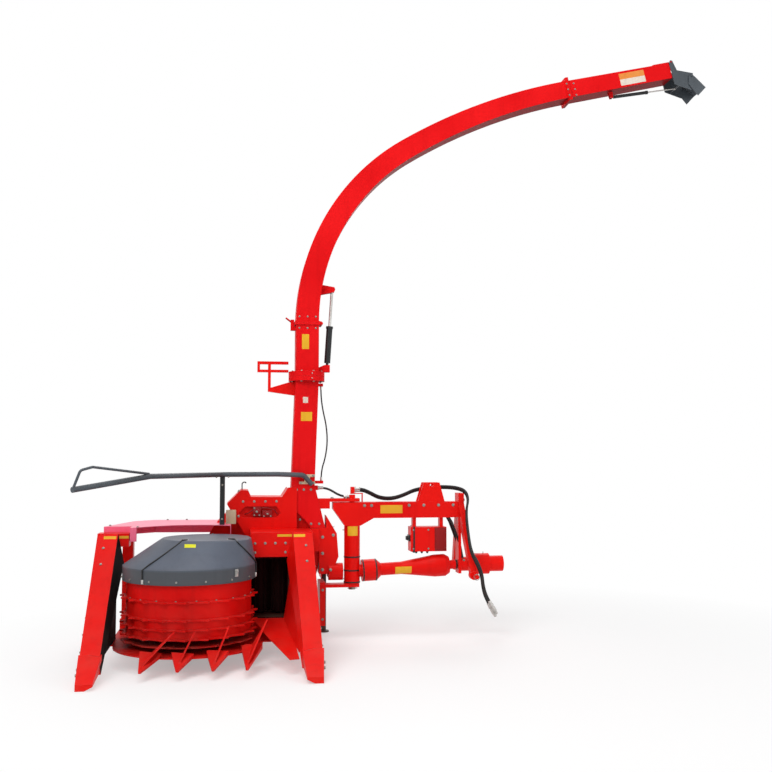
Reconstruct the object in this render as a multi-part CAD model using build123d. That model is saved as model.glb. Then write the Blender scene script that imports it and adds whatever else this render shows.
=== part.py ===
"""Single-rotor maize forage harvester for a tractor's three-point linkage, parked on its shoes and stands.

Millimetres. X runs to the tractor's side, Y to the rear, Z up from the ground. Inside this file
every place is measured from the rotor's axis on the ground; the last step moves each piece so that
the whole machine stands centred over the origin.
"""

import math
import os
from collections import namedtuple

from build123d import *

# Where the centre of the machine's footprint lies from the rotor's axis
ORIGIN_X = 1583.0
ORIGIN_Y = 136.0

# Gathering drum, knife disc and the pan below them
DRUM_R = 385.0
DRUM_WALL = 6.0
DRUM_TOP_Z = 520.0
TOOTH_TIP_R = 426.0
TOOTH_ROOT_R = 398.0
TOOTH_COUNT = 20
DISC_T = 10.0
DISC_ZS = (190.0, 245.0, 302.0, 407.0)
HUB_R = 70.0
KNIFE_Z = 140.0
KNIFE_T = 8.0
KNIFE_DISC_R = 375.0
KNIFE_TIP_R = 415.0
KNIFE_COUNT = 8
PAN_R = 462.0
PAN_Z = 98.0
PAN_T = 8.0
SPINDLE_R = 30.0
RUNNING_GAP = 0.5

# Plastic dome over the drum; its flat crown lies off the rotor's axis
DOME_RIM_R = 412.0
DOME_RIM_Z = 513.0
DOME_RIM_H = 88.0
DOME_CROWN_R = 285.0
DOME_CROWN_X = 98.0
DOME_CROWN_Y = 55.0
DOME_CROWN_T = 14.0
DOME_CROWN_EDGE = 12.0
DOME_TOP_Z = 757.0
DOME_WALL = 6.0

# Crop dividers: ridge line from the top down to the shoe. side is -1 on the left, 1 on the right
Divider = namedtuple("Divider", "top_x tip_x side")
LEFT_DIVIDER = Divider(-469.0, -468.0, -1)
RIGHT_DIVIDER = Divider(659.0, 686.0, 1)
DIVIDER_TOP_Y = 215.0
DIVIDER_TIP_Y = -560.0
DIVIDER_TOP_Z = 775.0
DIVIDER_TIP_Z = 110.0
# Section of a divider: width outwards, width of the underside inwards, depth
Section = namedtuple("Section", "out inner depth")
DIVIDER_TOP = Section(130.0, 40.0, 190.0)
DIVIDER_TIP = Section(114.0, 10.0, 62.0)
DIVIDER_LEAN = 12.0
SHEET_T = 4.0
# Raised sheet cap behind the left divider's top: its inner side, rear and underside
CAP_X1 = -400.0
CAP_Y1 = 329.0
CAP_Z0 = 690.0
SHOE_REAR_Y = -505.0
SHOE_NOSE_Y = -740.0
SHOE_H = 150.0
SHOE_SKID_W = 50.0

# Deck behind the drum
DECK_Z = 812.0
DECK_T = 4.0
DECK_SKIRT = 90.0

# Feed channel beside the drum and its upright rollers
CHANNEL_X0 = 380.0
CHANNEL_X1 = 640.0
CHANNEL_Y0 = 235.0
CHANNEL_Z0 = 206.0
CHANNEL_Z1 = 610.0
CHANNEL_WALL = 10.0
FLOOR_SLOPE = 0.1626
FLOOR_Z = 209.0
ROLLER_Y = 420.0
ROLLER_R = 38.0
ROLLER_RIB_R = 48.0
ROLLER_SHAFT_R = 16.0
ROLLER_RIBS = 8
ROLLER_XS = (446.0, 574.0)
BEAM_TOP_Z = 770.0

# Chopper housing with its flywheel
CHOPPER_X = 461.0
CHOPPER_Z = 560.0
CHOPPER_R = 400.0
CHOPPER_Y0 = 600.0
CHOPPER_DEPTH = 210.0
CHOPPER_WALL = 8.0
HOOD_FRONT_Y = 532.0
HOOD_WALL = 6.0
DUCT_FOOT_Z = 770.0
DUCT_FOOT_X = 772.0
DUCT_FOOT_BACK = 60.0
DUCT_FOOT_W = 264.0
DUCT_FOOT_D = 240.0
FLYWHEEL_CLEARANCE = 42.0
FLYWHEEL_R = CHOPPER_R - CHOPPER_WALL - FLYWHEEL_CLEARANCE
FLYWHEEL_T = 45.0

# Pole, slewing ring and spout
POLE_X = 770.0
POLE_Y = 620.0
POLE_W = 162.0
DUCT_WALL = 4.0
POLE_FOOT_X = 745.0
POLE_FOOT_Z = 1070.0
RING_Z = 1838.0
RING_R = 128.0
RING_T = 34.0
FOLD_Z = 2217.0
FOLD_FLANGE_W = 178.0
FOLD_FLANGE_T = 14.0
SPOUT_R1 = 1525.0
SPOUT_A1 = 57.8
SPOUT_R2 = 4080.0
SPOUT_A2 = 16.4
SPOUT_A3 = 2.5
SPOUT_END_RUN = 840.0
SPOUT_END_W = 119.0

# Fold hinge and its cylinder, in the pole's plane
FOLD_PIN_X = POLE_X + FOLD_FLANGE_W / 2 + 12.0
FOLD_LOW_PIN = (915.0, 1904.0)
FOLD_HIGH_PIN = (950.0, 2470.0)
FOLD_BARREL_R = 22.0
FOLD_BARREL_LENGTH = 300.0
FOLD_ROD_R = 10.0
EYE_R = 17.0
EYE_HALF = 11.0
LUG_GAP = 1.0
LUG_T = 8.0

# Flaps at the spout's mouth and their small cylinder
FLAP_PIN_AHEAD = 14.0
FLAP_PIN_ABOVE = 2.0
FLAP_SHEET = 4.0
FLAP_PIN_R = 5.0
FLAP_TUBE_R = 10.0
FLAP_TOP_DROP = 56.0
FLAP_TOP_BACK = 54.0
FLAP_SIDE_GAP = 5.0
FLAP_ARM_Y = 30.0
MOUTH_LUG_Y = 61.0
MOUTH_LUG_T = 6.0
MOUTH_LUG_H = 12.0
FLAP_1_TURN = 20.0
FLAP_1_LENGTH = 186.0
FLAP_1_DEPTHS = (110.0, 135.0)
FLAP_2_TURN = 56.0
FLAP_2_LENGTH = 140.0
FLAP_2_DEPTHS = (80.0, 92.0)
FLAP_2_PIN = (172.0, -84.0)
FLAP_2_PIN_R = 6.0
FLAP_CYLINDER_BACK = 485.0
FLAP_CYLINDER_DROP = 38.0
FLAP_EYE_AHEAD = 47.0
FLAP_EYE_DROP = 62.0
FLAP_BARREL_R = 12.0
FLAP_BARREL_LENGTH = 300.0
FLAP_ROD_R = 5.0

# Hitch: swing post, beam and headstock
POST_X = 1097.0
POST_Y = 600.0
POST_R = 56.0
POST_FOOT_Z = 378.0
POST_FOOT_H = 163.0
PIVOT_R = 20.0
BEAM_Z = 892.0
BEAM_H = 112.0
BEAM_W = 100.0
BEAM_WALL = 6.0
BEAM_TAIL = 140.0
TEE_DROP = 52.0
ARM_T = 22.0
HEAD_X = 1878.0
HEAD_T = 40.0
LOWER_PIN_Z = 455.0
MAST_HEIGHT = 610.0
LOWER_PIN_R = 14.0
LOWER_PIN_SPAN = 825.0
TOP_PIN_R = 12.75
TOP_PIN_BACK = 213.0
LEG_T = 40.0
LEG_TOP_W = 76.0
LEG_LOW_W = 50.0
LEG_TOP_Y = 16.0
HEAD_ABOVE = 60.0
LEG_FOOT_R = 30.0
LEG_FOOT_W = 24.0
LEG_FOOT_Y = 300.0
LEG_FOOT_AHEAD = 28.0
PTO_Z = 462.0
PTO_HEAD_Z = 500.0
PTO_TUBE_R = 44.0
PTO_BELL_R = 76.0
PTO_YOKE_R = 32.0
PTO_STUB_R = 17.5
PTO_STUB_X0 = 100.0
PTO_STUB_L = 180.0
PTO_SHOULDER_R = 24.0
SHIELD_WALL = 4.0
VALVE_X = 1640.0
VALVE_L = 258.0
VALVE_Z0 = 598.0
VALVE_Z1 = 770.0

# Hydraulic hoses: radius, the swivel over the hitch's axis and the ports on the pole
HOSE_R = 8.0
THIN_HOSE_R = 5.0
SWIVEL_TOP_Z = 1000.0
HOSE_CAP_Z = 1006.0
HOSE_CAP_T = 6.0
HOSE_STEP = (0.0, -14.0, 14.0)
HOSE_END_STEP = (0.0, -30.0, 22.0)
COUPLER_R = 13.0
COUPLER_L = 66.0
BEAM_HOSE = (
    (1112, 600, 1030),
    (1165, 600, 1030),
    (1220, 612, 1008),
    (1295, 634, 968),
    (1390, 655, 960),
    (1480, 672, 985),
    (1560, 682, 1022),
    (1680, 686, 1040),
    (1790, 670, 1042),
    (1862, 628, 1036),
    (1912, 570, 1016),
    (1925, 520, 960),
    (1898, 487, 875),
    (1893, 410, 735),
    (1898, 338, 600),
    (1932, 300, 525),
    (1960, 290, 445),
    (1968, 292, 362),
    (1992, 297, 288),
    (2028, 300, 228),
)
ROOT_HOSE = (
    (852, 610, 1050),
    (900, 610, 1050),
    (948, 608, 1032),
    (988, 604, 1006),
    (1034, 600, 988),
    (1077, 600, 988),
)
POLE_HOSE = (
    (872, 605, 1770),
    (872, 605, 1700),
    (886, 604, 1600),
    (912, 602, 1490),
    (920, 600, 1370),
    (905, 600, 1260),
    (876, 600, 1170),
    (876, 600, 1100),
)

# Bracket beside the slewing ring
SLEW_ARM = 274.0
SLEW_REACH = 349.0
SLEW_BAR_Z = 1925.0

# Parking stands
STAND_R = 19.0
STAND_FOOT_R = 40.0
STAND_PIVOT_Z = 430.0
STAND_PIN_R = 8.0
RIGHT_STAND = (918.0, 862.0)
LEFT_STAND = (-440.0, 862.0)


def block(x0, x1, y0, y1, z0, z1):
    """Box between two corners."""
    box = Box(x1 - x0, y1 - y0, z1 - z0)
    return Pos((x0 + x1) / 2, (y0 + y1) / 2, (z0 + z1) / 2) * box


def rod(start, end, radius):
    """Round bar from one point to another."""
    run = Vector(*end) - Vector(*start)
    plane = Plane(origin=Vector(*start), z_dir=run.normalized())
    return plane * Cylinder(radius, run.length, align=(Align.CENTER, Align.CENTER, Align.MIN))


def side_plate(points, y0, y1):
    """Plate whose outline is given as (x, z) points and which runs from y0 to y1."""
    face = Plane.XZ.offset(-y0) * make_face(Polyline(*points, close=True))
    return extrude(face, amount=-(y1 - y0))


def length_plate(points, x0, x1):
    """Plate whose outline is given as (y, z) points and which runs from x0 to x1."""
    face = Plane.YZ.offset(x0) * make_face(Polyline(*points, close=True))
    return extrude(face, amount=x1 - x0)


def flat_plate(points, z0, z1):
    """Plate whose outline is given as (x, y) points and which runs from z0 to z1."""
    face = Plane.XY.offset(z0) * make_face(Polyline(*points, close=True))
    return extrude(face, amount=z1 - z0)


def tube(path_points, radius, bend):
    """Round bar along straight runs joined by tangent arcs of one radius."""
    path = FilletPolyline(*path_points, radius=bend)
    return sweep(path.location_at(0) * Circle(radius).face(), path=path)


def toothed_disc(z):
    """Disc with swept-back teeth around its rim."""
    step = 360.0 / TOOTH_COUNT
    points = []
    for i in range(TOOTH_COUNT):
        for share, radius in ((0.0, TOOTH_TIP_R), (0.12, TOOTH_ROOT_R), (0.55, TOOTH_ROOT_R)):
            angle = math.radians((i + share) * step)
            points.append((radius * math.cos(angle), radius * math.sin(angle)))
    disc = flat_plate(points, z, z + DISC_T)
    return disc - Pos(0, 0, z + DISC_T / 2) * Cylinder(DRUM_R - DRUM_WALL, 2 * DISC_T)


def gathering_drum():
    """Drum that carries the crop round: closed top, hollow below, four toothed discs."""
    low = DISC_ZS[0]
    skin = Pos(0, 0, (low + DRUM_TOP_Z) / 2) * Cylinder(DRUM_R, DRUM_TOP_Z - low)
    roof = DRUM_TOP_Z - DRUM_WALL
    inside = Pos(0, 0, (low + roof) / 2) * Cylinder(DRUM_R - DRUM_WALL, roof - low)
    hub = Pos(0, 0, (low + DRUM_TOP_Z) / 2) * Cylinder(HUB_R, DRUM_TOP_Z - low)
    drum = skin - inside + hub
    for z in DISC_ZS:
        drum += toothed_disc(z)
    return drum - Pos(0, 0, DRUM_TOP_Z / 2) * Cylinder(SPINDLE_R + 0.3, DRUM_TOP_Z * 1.2)


def knife_disc():
    """Disc below the drum with bevelled cutting blades on its rim."""
    disc = Pos(0, 0, KNIFE_Z + KNIFE_T / 2) * Cylinder(KNIFE_DISC_R, KNIFE_T)
    half = math.radians(360.0 / KNIFE_COUNT / 2.0)
    for i in range(KNIFE_COUNT):
        start = 2.0 * half * i
        blade = [
            ((KNIFE_DISC_R - 30) * math.cos(start), (KNIFE_DISC_R - 30) * math.sin(start)),
            (KNIFE_TIP_R * math.cos(start + 0.10), KNIFE_TIP_R * math.sin(start + 0.10)),
            (KNIFE_TIP_R * math.cos(start + 0.45), KNIFE_TIP_R * math.sin(start + 0.45)),
            ((KNIFE_DISC_R - 30) * math.cos(start + 0.60), (KNIFE_DISC_R - 30) * math.sin(start + 0.60)),
        ]
        disc += flat_plate(blade, KNIFE_Z + KNIFE_T, KNIFE_Z + KNIFE_T + 5.0)
    hub_low = PAN_Z + PAN_T + 24.0
    hub_top = DISC_ZS[0] - RUNNING_GAP
    disc += Pos(0, 0, (hub_low + hub_top) / 2) * Cylinder(HUB_R, hub_top - hub_low)
    return disc - Pos(0, 0, KNIFE_Z) * Cylinder(SPINDLE_R + 0.3, 400.0)


def spindle():
    """Fixed stub shaft in the pan on which the drum and the knife disc turn, up to the dome."""
    foot = Pos(0, 0, PAN_Z + PAN_T + 11.5) * Cylinder(HUB_R, 23.0)
    low = PAN_Z + PAN_T
    top = DOME_TOP_Z - DOME_CROWN_T
    shaft = Pos(0, 0, (low + top) / 2) * Cylinder(SPINDLE_R, top - low)
    return foot + shaft


def base_pan():
    """Round pan under the rotor with its rear apron."""
    pan = Pos(0, 0, PAN_Z + PAN_T / 2) * Cylinder(PAN_R, PAN_T)
    apron = block(-490.0, 664.0, 0.0, 560.0, PAN_Z, PAN_Z + PAN_T)
    return pan + apron


def box_tube(x0, x1, y0, y1, z0, z1, wall=6.0):
    """Closed box-section tube."""
    hollow = block(x0 + wall, x1 - wall, y0 + wall, y1 - wall, z0 + wall, z1 - wall)
    return block(x0, x1, y0, y1, z0, z1) - hollow


def rear_frame():
    """Welded cross tube and uprights behind the rotor that carry the deck."""
    low = PAN_Z + PAN_T
    cross = box_tube(-480.0, 861.0, 480.0, 560.0, low, low + 80.0)
    left_post = box_tube(-470.0, -400.0, 480.0, 560.0, low + 80.0, DECK_Z - DECK_T)
    rear_rail = box_tube(-480.0, -400.0, 560.0, 700.0, low, low + 80.0)
    stand_post = box_tube(-480.0, -400.0, 700.0, 780.0, low, STAND_PIVOT_Z + 50.0)
    return cross + left_post + rear_rail + stand_post


# Stalk lifters: where each nose's tip is and where its fin ends above the pan's rim
Lifter = namedtuple("Lifter", "tip_x top_x top_y top_z")
LIFTERS = (
    Lifter(-243.0, -63.0, -436.0, 252.0),
    Lifter(-35.0, 56.0, -438.0, 252.0),
    Lifter(166.0, 252.0, -363.0, 266.0),
    Lifter(359.0, 480.0, -300.0, 290.0),
)
LIFTER_TIP_Y = -592.0
LIFTER_TIP_Z = 58.0
LIFTER_W = 130.0
FIN_T = 8.0


def stalk_point(lifter):
    """One pointed lifter: a wide nose on the pan's rim and a thin fin that rises towards the drum."""
    tip = Vector(lifter.tip_x, LIFTER_TIP_Y, LIFTER_TIP_Z)
    back_x = lifter.tip_x + 0.25 * (lifter.top_x - lifter.tip_x)
    back = Vector(back_x, -math.sqrt(PAN_R ** 2 - min(abs(back_x), 380.0) ** 2) + 12.0, 122.0)
    run = back - tip
    along = Plane(origin=back, z_dir=run.normalized(), x_dir=Vector(1, 0, 0))
    front = Plane(origin=tip, z_dir=run.normalized(), x_dir=Vector(1, 0, 0))
    nose = loft([front * Rectangle(14, 12), along * Rectangle(LIFTER_W, 30)], ruled=True)
    fin_top = Vector(lifter.top_x, lifter.top_y, lifter.top_z)
    fin_face = make_face(Polyline(tip + Vector(0, 40, 14), back, fin_top, close=True))
    return nose + extrude(fin_face, amount=FIN_T / 2, both=True)


def stalk_points():
    """The four lifters in front of the drum, cut to sit on the pan and to clear the teeth."""
    solid = None
    for lifter in LIFTERS:
        piece = stalk_point(lifter) - base_pan() - Pos(0, 0, 300.0) * Cylinder(TOOTH_TIP_R + 6.0, 340.0)
        solid = piece if solid is None else solid + piece
    return solid


def dome_form(inset, low, crown_z):
    """Rim cylinder and sloping shoulder up to the off-centre crown, shrunk by an inset."""
    shoulder = DOME_RIM_Z + DOME_RIM_H - inset / 2
    rim = Pos(0, 0, (low + shoulder) / 2) * Cylinder(DOME_RIM_R - inset, shoulder - low)
    base = Plane.XY.offset(shoulder) * Circle(DOME_RIM_R - inset)
    crown = Plane.XY.offset(crown_z) * Pos(DOME_CROWN_X, DOME_CROWN_Y) * Circle(DOME_CROWN_R - inset)
    return rim + loft([base, crown], ruled=True)


def dome():
    """Moulded cover over the drum: upright rim, sloping shoulder and flat crown with a bevelled edge."""
    edge_z = DOME_TOP_Z - DOME_CROWN_T / 2
    crown = Pos(DOME_CROWN_X, DOME_CROWN_Y, (edge_z + DOME_TOP_Z) / 2) * Cone(
        DOME_CROWN_R, DOME_CROWN_R - DOME_CROWN_EDGE, DOME_TOP_Z - edge_z
    )
    outer = dome_form(0.0, DOME_RIM_Z, edge_z) + crown
    return outer - dome_form(DOME_WALL, DOME_RIM_Z - 1.0, DOME_TOP_Z - DOME_CROWN_T)


def divider_section(y, ridge_x, ridge_z, side, section, inset):
    """Cross section of a divider arm: a ridge, a top face that leans out and a flat underside."""
    low = ridge_z - section.depth + inset
    outer = ridge_x + side * (section.out - inset)
    points = [
        (ridge_x - side * (section.inner - inset), low),
        (ridge_x, ridge_z - inset),
        (outer, ridge_z - DIVIDER_LEAN - inset),
        (outer, low),
    ]
    return Plane.XZ.offset(-y) * make_face(Polyline(*points, close=True))


def divider_form(arm, inset=0.0):
    """The arm's outer volume, shrunk by an inset."""
    top = divider_section(DIVIDER_TOP_Y - inset, arm.top_x, DIVIDER_TOP_Z, arm.side, DIVIDER_TOP, inset)
    tip = divider_section(DIVIDER_TIP_Y + inset, arm.tip_x, DIVIDER_TIP_Z, arm.side, DIVIDER_TIP, inset)
    return loft([top, tip], ruled=True)


def divider(arm):
    """Folded sheet divider arm that narrows to the shoe."""
    return divider_form(arm) - divider_form(arm, SHEET_T)


def left_divider():
    """Left divider with the sheet cap that closes the deck's corner behind its top, open at the rear."""
    outer_x = LEFT_DIVIDER.top_x - DIVIDER_TOP.out
    cap = block(outer_x, CAP_X1, DIVIDER_TOP_Y, CAP_Y1, CAP_Z0, DIVIDER_TOP_Z)
    cap -= block(
        outer_x + SHEET_T, CAP_X1 - SHEET_T, DIVIDER_TOP_Y + SHEET_T, CAP_Y1 + 1.0, CAP_Z0 + SHEET_T, DIVIDER_TOP_Z - SHEET_T
    )
    return divider(LEFT_DIVIDER) + cap


def underside_z(y):
    """Height of a divider's flat underside at a place along it."""
    share = (DIVIDER_TOP_Y - y) / (DIVIDER_TOP_Y - DIVIDER_TIP_Y)
    top = DIVIDER_TOP_Z - DIVIDER_TOP.depth
    return top + share * (DIVIDER_TIP_Z - DIVIDER_TIP.depth - top)


def left_side_sheet():
    """Upright sheet from the left divider's underside down to the pan's level."""
    low, front_y = PAN_Z + PAN_T, -390.0
    points = [
        (DIVIDER_TOP_Y, low),
        (DIVIDER_TOP_Y, underside_z(DIVIDER_TOP_Y)),
        (front_y, underside_z(front_y)),
        (front_y, low),
    ]
    return length_plate(points, LEFT_DIVIDER.top_x - 7.0, LEFT_DIVIDER.top_x - 7.0 + SHEET_T)


def right_side_sheet():
    """Slanting sheet from the right divider's underside in to the sloping floor's edge."""
    front_y, lean = -400.0, 59.0
    rear_top = Vector(RIGHT_DIVIDER.top_x, DIVIDER_TOP_Y, underside_z(DIVIDER_TOP_Y))
    rear_low = Vector(rear_top.X - lean, DIVIDER_TOP_Y, floor_z(DIVIDER_TOP_Y))
    front_top = Vector(rear_top.X + 15.0, front_y, underside_z(front_y))
    share = (front_top.Z - floor_z(front_y)) / (rear_top.Z - rear_low.Z)
    front_low = front_top + (rear_low - rear_top) * share
    face = make_face(Polyline(rear_top, rear_low, front_low, front_top, close=True))
    return extrude(face, amount=SHEET_T, dir=Vector(1, 0, 0))


def floor_z(y):
    """Height of the sloping floor's top face at a place along it."""
    return FLOOR_Z - FLOOR_SLOPE * (CHANNEL_Y0 - y)


def shoe(arm):
    """Pointed shoe round the divider's tip, flat on the ground, with a chamfered inner edge."""
    def section(y, inner, outer, high, chamfer):
        points = [
            (arm.tip_x - arm.side * inner, chamfer),
            (arm.tip_x - arm.side * inner, high),
            (arm.tip_x + arm.side * outer, high),
            (arm.tip_x + arm.side * outer, 0.0),
            (arm.tip_x + arm.side * (outer - SHOE_SKID_W), 0.0),
        ]
        return Plane.XZ.offset(-y) * make_face(Polyline(*points, close=True))

    rear = section(SHOE_REAR_Y, 8.0, DIVIDER_TIP.out + 8.0, SHOE_H, 70.0)
    nose = section(SHOE_NOSE_Y, -8.0, DIVIDER_TIP.out - 12.0, 36.0, 22.0)
    return loft([rear, nose], ruled=True) - divider_form(arm)


def inner_skirt():
    """Sloping floor sheet from the feed channel forward to the pan's rim and the right shoe."""
    fall = Vector(0, -1.0, -FLOOR_SLOPE).normalized()
    plane = Plane(origin=(CHANNEL_X0, CHANNEL_Y0, FLOOR_Z), x_dir=(1, 0, 0), z_dir=Vector(1, 0, 0).cross(fall))
    rim = [(0, 0), (256, 0), (280, 640), (284, 740), (227, 750), (100, 330), (50, 120)]
    face = plane * make_face(Polyline(*rim, close=True))
    sheet = extrude(face, amount=SHEET_T, dir=(0, 0, -1))
    sheet -= Pos(0, 0, PAN_Z) * Cylinder(PAN_R + 0.5, 60.0)
    return sheet - Pos(0, 0, 300.0) * Cylinder(TOOTH_TIP_R + 8.0, 500.0)


def deck():
    """Top sheet behind the drum with folded edges, cut round behind the dome and the housing."""
    outline = [
        (-575.0, CAP_Y1 + 2.0),
        (-434.0, 840.0),
        (-300.0, 960.0),
        (250.0, 900.0),
        (250.0, DIVIDER_TOP_Y),
        (CAP_X1 + 5.0, DIVIDER_TOP_Y),
        (CAP_X1 + 5.0, CAP_Y1 + 2.0),
    ]
    low = DECK_Z - DECK_SKIRT
    outer = make_face(Polyline(*outline, close=True))
    sheet = extrude(Plane.XY.offset(low) * outer, amount=DECK_SKIRT)
    sheet -= extrude(Plane.XY.offset(low - 1.0) * offset(outer, amount=-DECK_T), amount=DECK_SKIRT - DECK_T + 1.0)
    sheet -= Pos(0, 0, DECK_Z) * Cylinder(DOME_RIM_R + 3.0, 4 * DECK_SKIRT)
    sheet -= chopper_drum(CHOPPER_R + 0.5, CHOPPER_Y0 - 0.5, CHOPPER_Y0 + CHOPPER_DEPTH + 0.5)
    return sheet - block(240.0, 260.0, HOOD_FRONT_Y - 1.0, CHOPPER_Y0 + CHOPPER_DEPTH + 1.0, 700.0, 820.0)


def chopper_drum(radius, y0, y1):
    """Round body on the flywheel's axis."""
    face = Plane.XZ.offset(-y0) * Pos(CHOPPER_X, CHOPPER_Z) * Circle(radius)
    return extrude(face, amount=-(y1 - y0))


def chopper_housing():
    """Round flywheel housing with the upright outlet at its tractor side."""
    rear = CHOPPER_Y0 + CHOPPER_DEPTH
    outer = chopper_drum(CHOPPER_R, CHOPPER_Y0, rear)
    outer += block(CHOPPER_X, CHOPPER_X + CHOPPER_R, CHOPPER_Y0, rear, CHOPPER_Z, DUCT_FOOT_Z)
    outer -= chopper_drum(CHOPPER_R - CHOPPER_WALL, CHOPPER_Y0 + CHOPPER_WALL, rear - CHOPPER_WALL)
    return outer


HOOD_OUTLINE = (
    (219.0, 944.0),
    (315.0, 1040.0),
    (363.0, 1036.0),
    (384.0, 992.0),
    (598.0, 990.0),
    (640.0, 1055.0),
    (702.0, 1058.0),
    (702.0, DUCT_FOOT_Z - 2.0),
    (860.0, DUCT_FOOT_Z - 2.0),
    (860.0, CHANNEL_Z1),
    (449.0, CHANNEL_Z1),
    (341.0, 738.0),
)
HOOD_WINDOW = (
    (300.0, 880.0),
    (345.0, 925.0),
    (560.0, 925.0),
    (590.0, 880.0),
    (560.0, 850.0),
    (330.0, 850.0),
)
HOOD_SIDE_X = 638.0


def hood_tray():
    """Shallow tray behind the window in the hood's front, in which the hood's latch gear lies."""
    back = HOOD_FRONT_Y + HOOD_WALL
    outer = block(290.0, 600.0, back, back + 22.0, 840.0, 935.0)
    return outer - block(290.0 + SHEET_T, 600.0 - SHEET_T, back, back + 22.0 - SHEET_T, 840.0 + SHEET_T, 935.0 - SHEET_T)


def chopper_hood():
    """Folded hood over the housing: flat front plate with cut corners and a window over a tray."""
    rear = CHOPPER_Y0 + CHOPPER_DEPTH
    back = HOOD_FRONT_Y + HOOD_WALL
    low = DUCT_FOOT_Z - 2.0
    outline = make_face(Polyline(*HOOD_OUTLINE, close=True))
    inner = offset(outline, amount=-HOOD_WALL)
    hood = extrude(Plane.XZ.offset(-HOOD_FRONT_Y) * outline, amount=-(rear - HOOD_FRONT_Y))
    hood -= extrude(Plane.XZ.offset(-back) * inner, amount=-(rear - HOOD_FRONT_Y - 2 * HOOD_WALL))
    hood -= block(HOOD_SIDE_X, 900.0, back + 0.5, rear + 1.0, low + 1.0, 1100.0)
    hood += block(HOOD_SIDE_X - HOOD_WALL, HOOD_SIDE_X, HOOD_FRONT_Y, rear, low, 1040.0)
    hood -= side_plate(HOOD_WINDOW, HOOD_FRONT_Y - 1.0, back)
    hood += hood_tray()
    hood -= chopper_drum(CHOPPER_R + 0.3, CHOPPER_Y0 - 0.3, rear + 1.0)
    return hood - block(400.0, 900.0, CHOPPER_Y0 - 0.3, rear + 1.0, 500.0, DUCT_FOOT_Z + 5.0)


def flywheel():
    """Heavy chopping flywheel, one plain block inside its closed housing."""
    front = CHOPPER_Y0 + CHOPPER_WALL
    return chopper_drum(FLYWHEEL_R, front, front + FLYWHEEL_T)


def feed_channel():
    """Open channel beside the drum that leads the crop to the chopper."""
    wall = CHANNEL_WALL
    shell = block(CHANNEL_X0, CHANNEL_X1, CHANNEL_Y0, CHOPPER_Y0, CHANNEL_Z0, CHANNEL_Z1)
    inside = block(
        CHANNEL_X0 + wall, CHANNEL_X1 - wall, CHANNEL_Y0 - 1, CHOPPER_Y0 - 6, CHANNEL_Z0 + wall, CHANNEL_Z1 - wall
    )
    return shell - inside


def feed_roller(x):
    """Upright feed roller with ribs, carried between the channel's floor and roof."""
    low = CHANNEL_Z0 + CHANNEL_WALL + 0.3
    high = CHANNEL_Z1 - CHANNEL_WALL - 0.3
    roller = Cylinder(ROLLER_R, high - low - 16.0) + Cylinder(ROLLER_SHAFT_R, high - low)
    for i in range(ROLLER_RIBS):
        rib = Pos((ROLLER_R + ROLLER_RIB_R) / 2 - 2, 0, 0) * Box(ROLLER_RIB_R - ROLLER_R + 4, 8, high - low - 30.0)
        roller += Rot(0, 0, i * 360.0 / ROLLER_RIBS) * rib
    return Pos(x, ROLLER_Y, (low + high) / 2) * roller


def cross_beam():
    """Beam and cover sheet above the feed channel that tie the right divider to the hood."""
    beam = box_tube(CHANNEL_X0, 792.0, DIVIDER_TOP_Y, 300.0, CHANNEL_Z1, BEAM_TOP_Z)
    cover = block(CHANNEL_X0, 792.0, 300.0, HOOD_FRONT_Y, BEAM_TOP_Z - SHEET_T, BEAM_TOP_Z)
    rib = block(636.0, 640.0, 300.0, HOOD_FRONT_Y, CHANNEL_Z1, BEAM_TOP_Z - SHEET_T)
    return beam + cover + rib


def duct_foot():
    """Tapered hollow duct from the housing's outlet up to the pole."""
    shells = []
    for wall in (0.0, DUCT_WALL):
        side = POLE_W - 2 * wall
        foot_place = Pos(DUCT_FOOT_X, POLE_Y + DUCT_FOOT_BACK)
        low = Plane.XY.offset(DUCT_FOOT_Z) * foot_place * Rectangle(DUCT_FOOT_W - 2 * wall, DUCT_FOOT_D - 2 * wall)
        high = Plane.XY.offset(POLE_FOOT_Z) * Pos(POLE_FOOT_X, POLE_Y) * Rectangle(side, side)
        shells.append(loft([low, high], ruled=True))
    rear = CHOPPER_Y0 + CHOPPER_DEPTH
    side_x = CHOPPER_X + CHOPPER_R
    floor = block(side_x - 0.1, side_x + 43.0, 560.0, rear - 10.0, DUCT_FOOT_Z, DUCT_FOOT_Z + 4.0)
    foot = shells[0] - shells[1] - chopper_drum(CHOPPER_R, 500.0, rear + 100.0)
    x, y, z = ROOT_HOSE[0]
    port = block(x - 60.0, x, y - 20.0, y + 20.0, z - 16.0, z + 16.0) - duct_core()
    return foot - block(300.0, 640.0, 500.0, 900.0, 700.0, 1200.0) + floor + port


def lower_pole():
    """Fixed pole up to the slewing ring."""
    shells = []
    for wall in (0.0, DUCT_WALL):
        side = POLE_W - 2 * wall
        low = Plane.XY.offset(POLE_FOOT_Z) * Pos(POLE_FOOT_X, POLE_Y) * Rectangle(side, side)
        high = Plane.XY.offset(RING_Z - RING_T) * Pos(POLE_X, POLE_Y) * Rectangle(side, side)
        shells.append(loft([low, high], ruled=True))
    ring = Pos(POLE_X, POLE_Y, RING_Z - RING_T / 2) * Cylinder(RING_R, RING_T)
    clear = POLE_W - 2 * DUCT_WALL
    bore = Pos(POLE_X, POLE_Y, RING_Z - RING_T / 2) * Box(clear, clear, RING_T)
    ports = None
    for (x, y, z), high in ((POLE_HOSE[0], 1.0), (POLE_HOSE[-1], -1.0)):
        z0, z1 = sorted((z, z + high * 20.0))
        port = block(x - 60.0, x + 14.0, y - 15.0, y + 15.0, z0, z1) - pole_core()
        ports = port if ports is None else ports + port
    return shells[0] - shells[1] + (ring - bore) + ports


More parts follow.
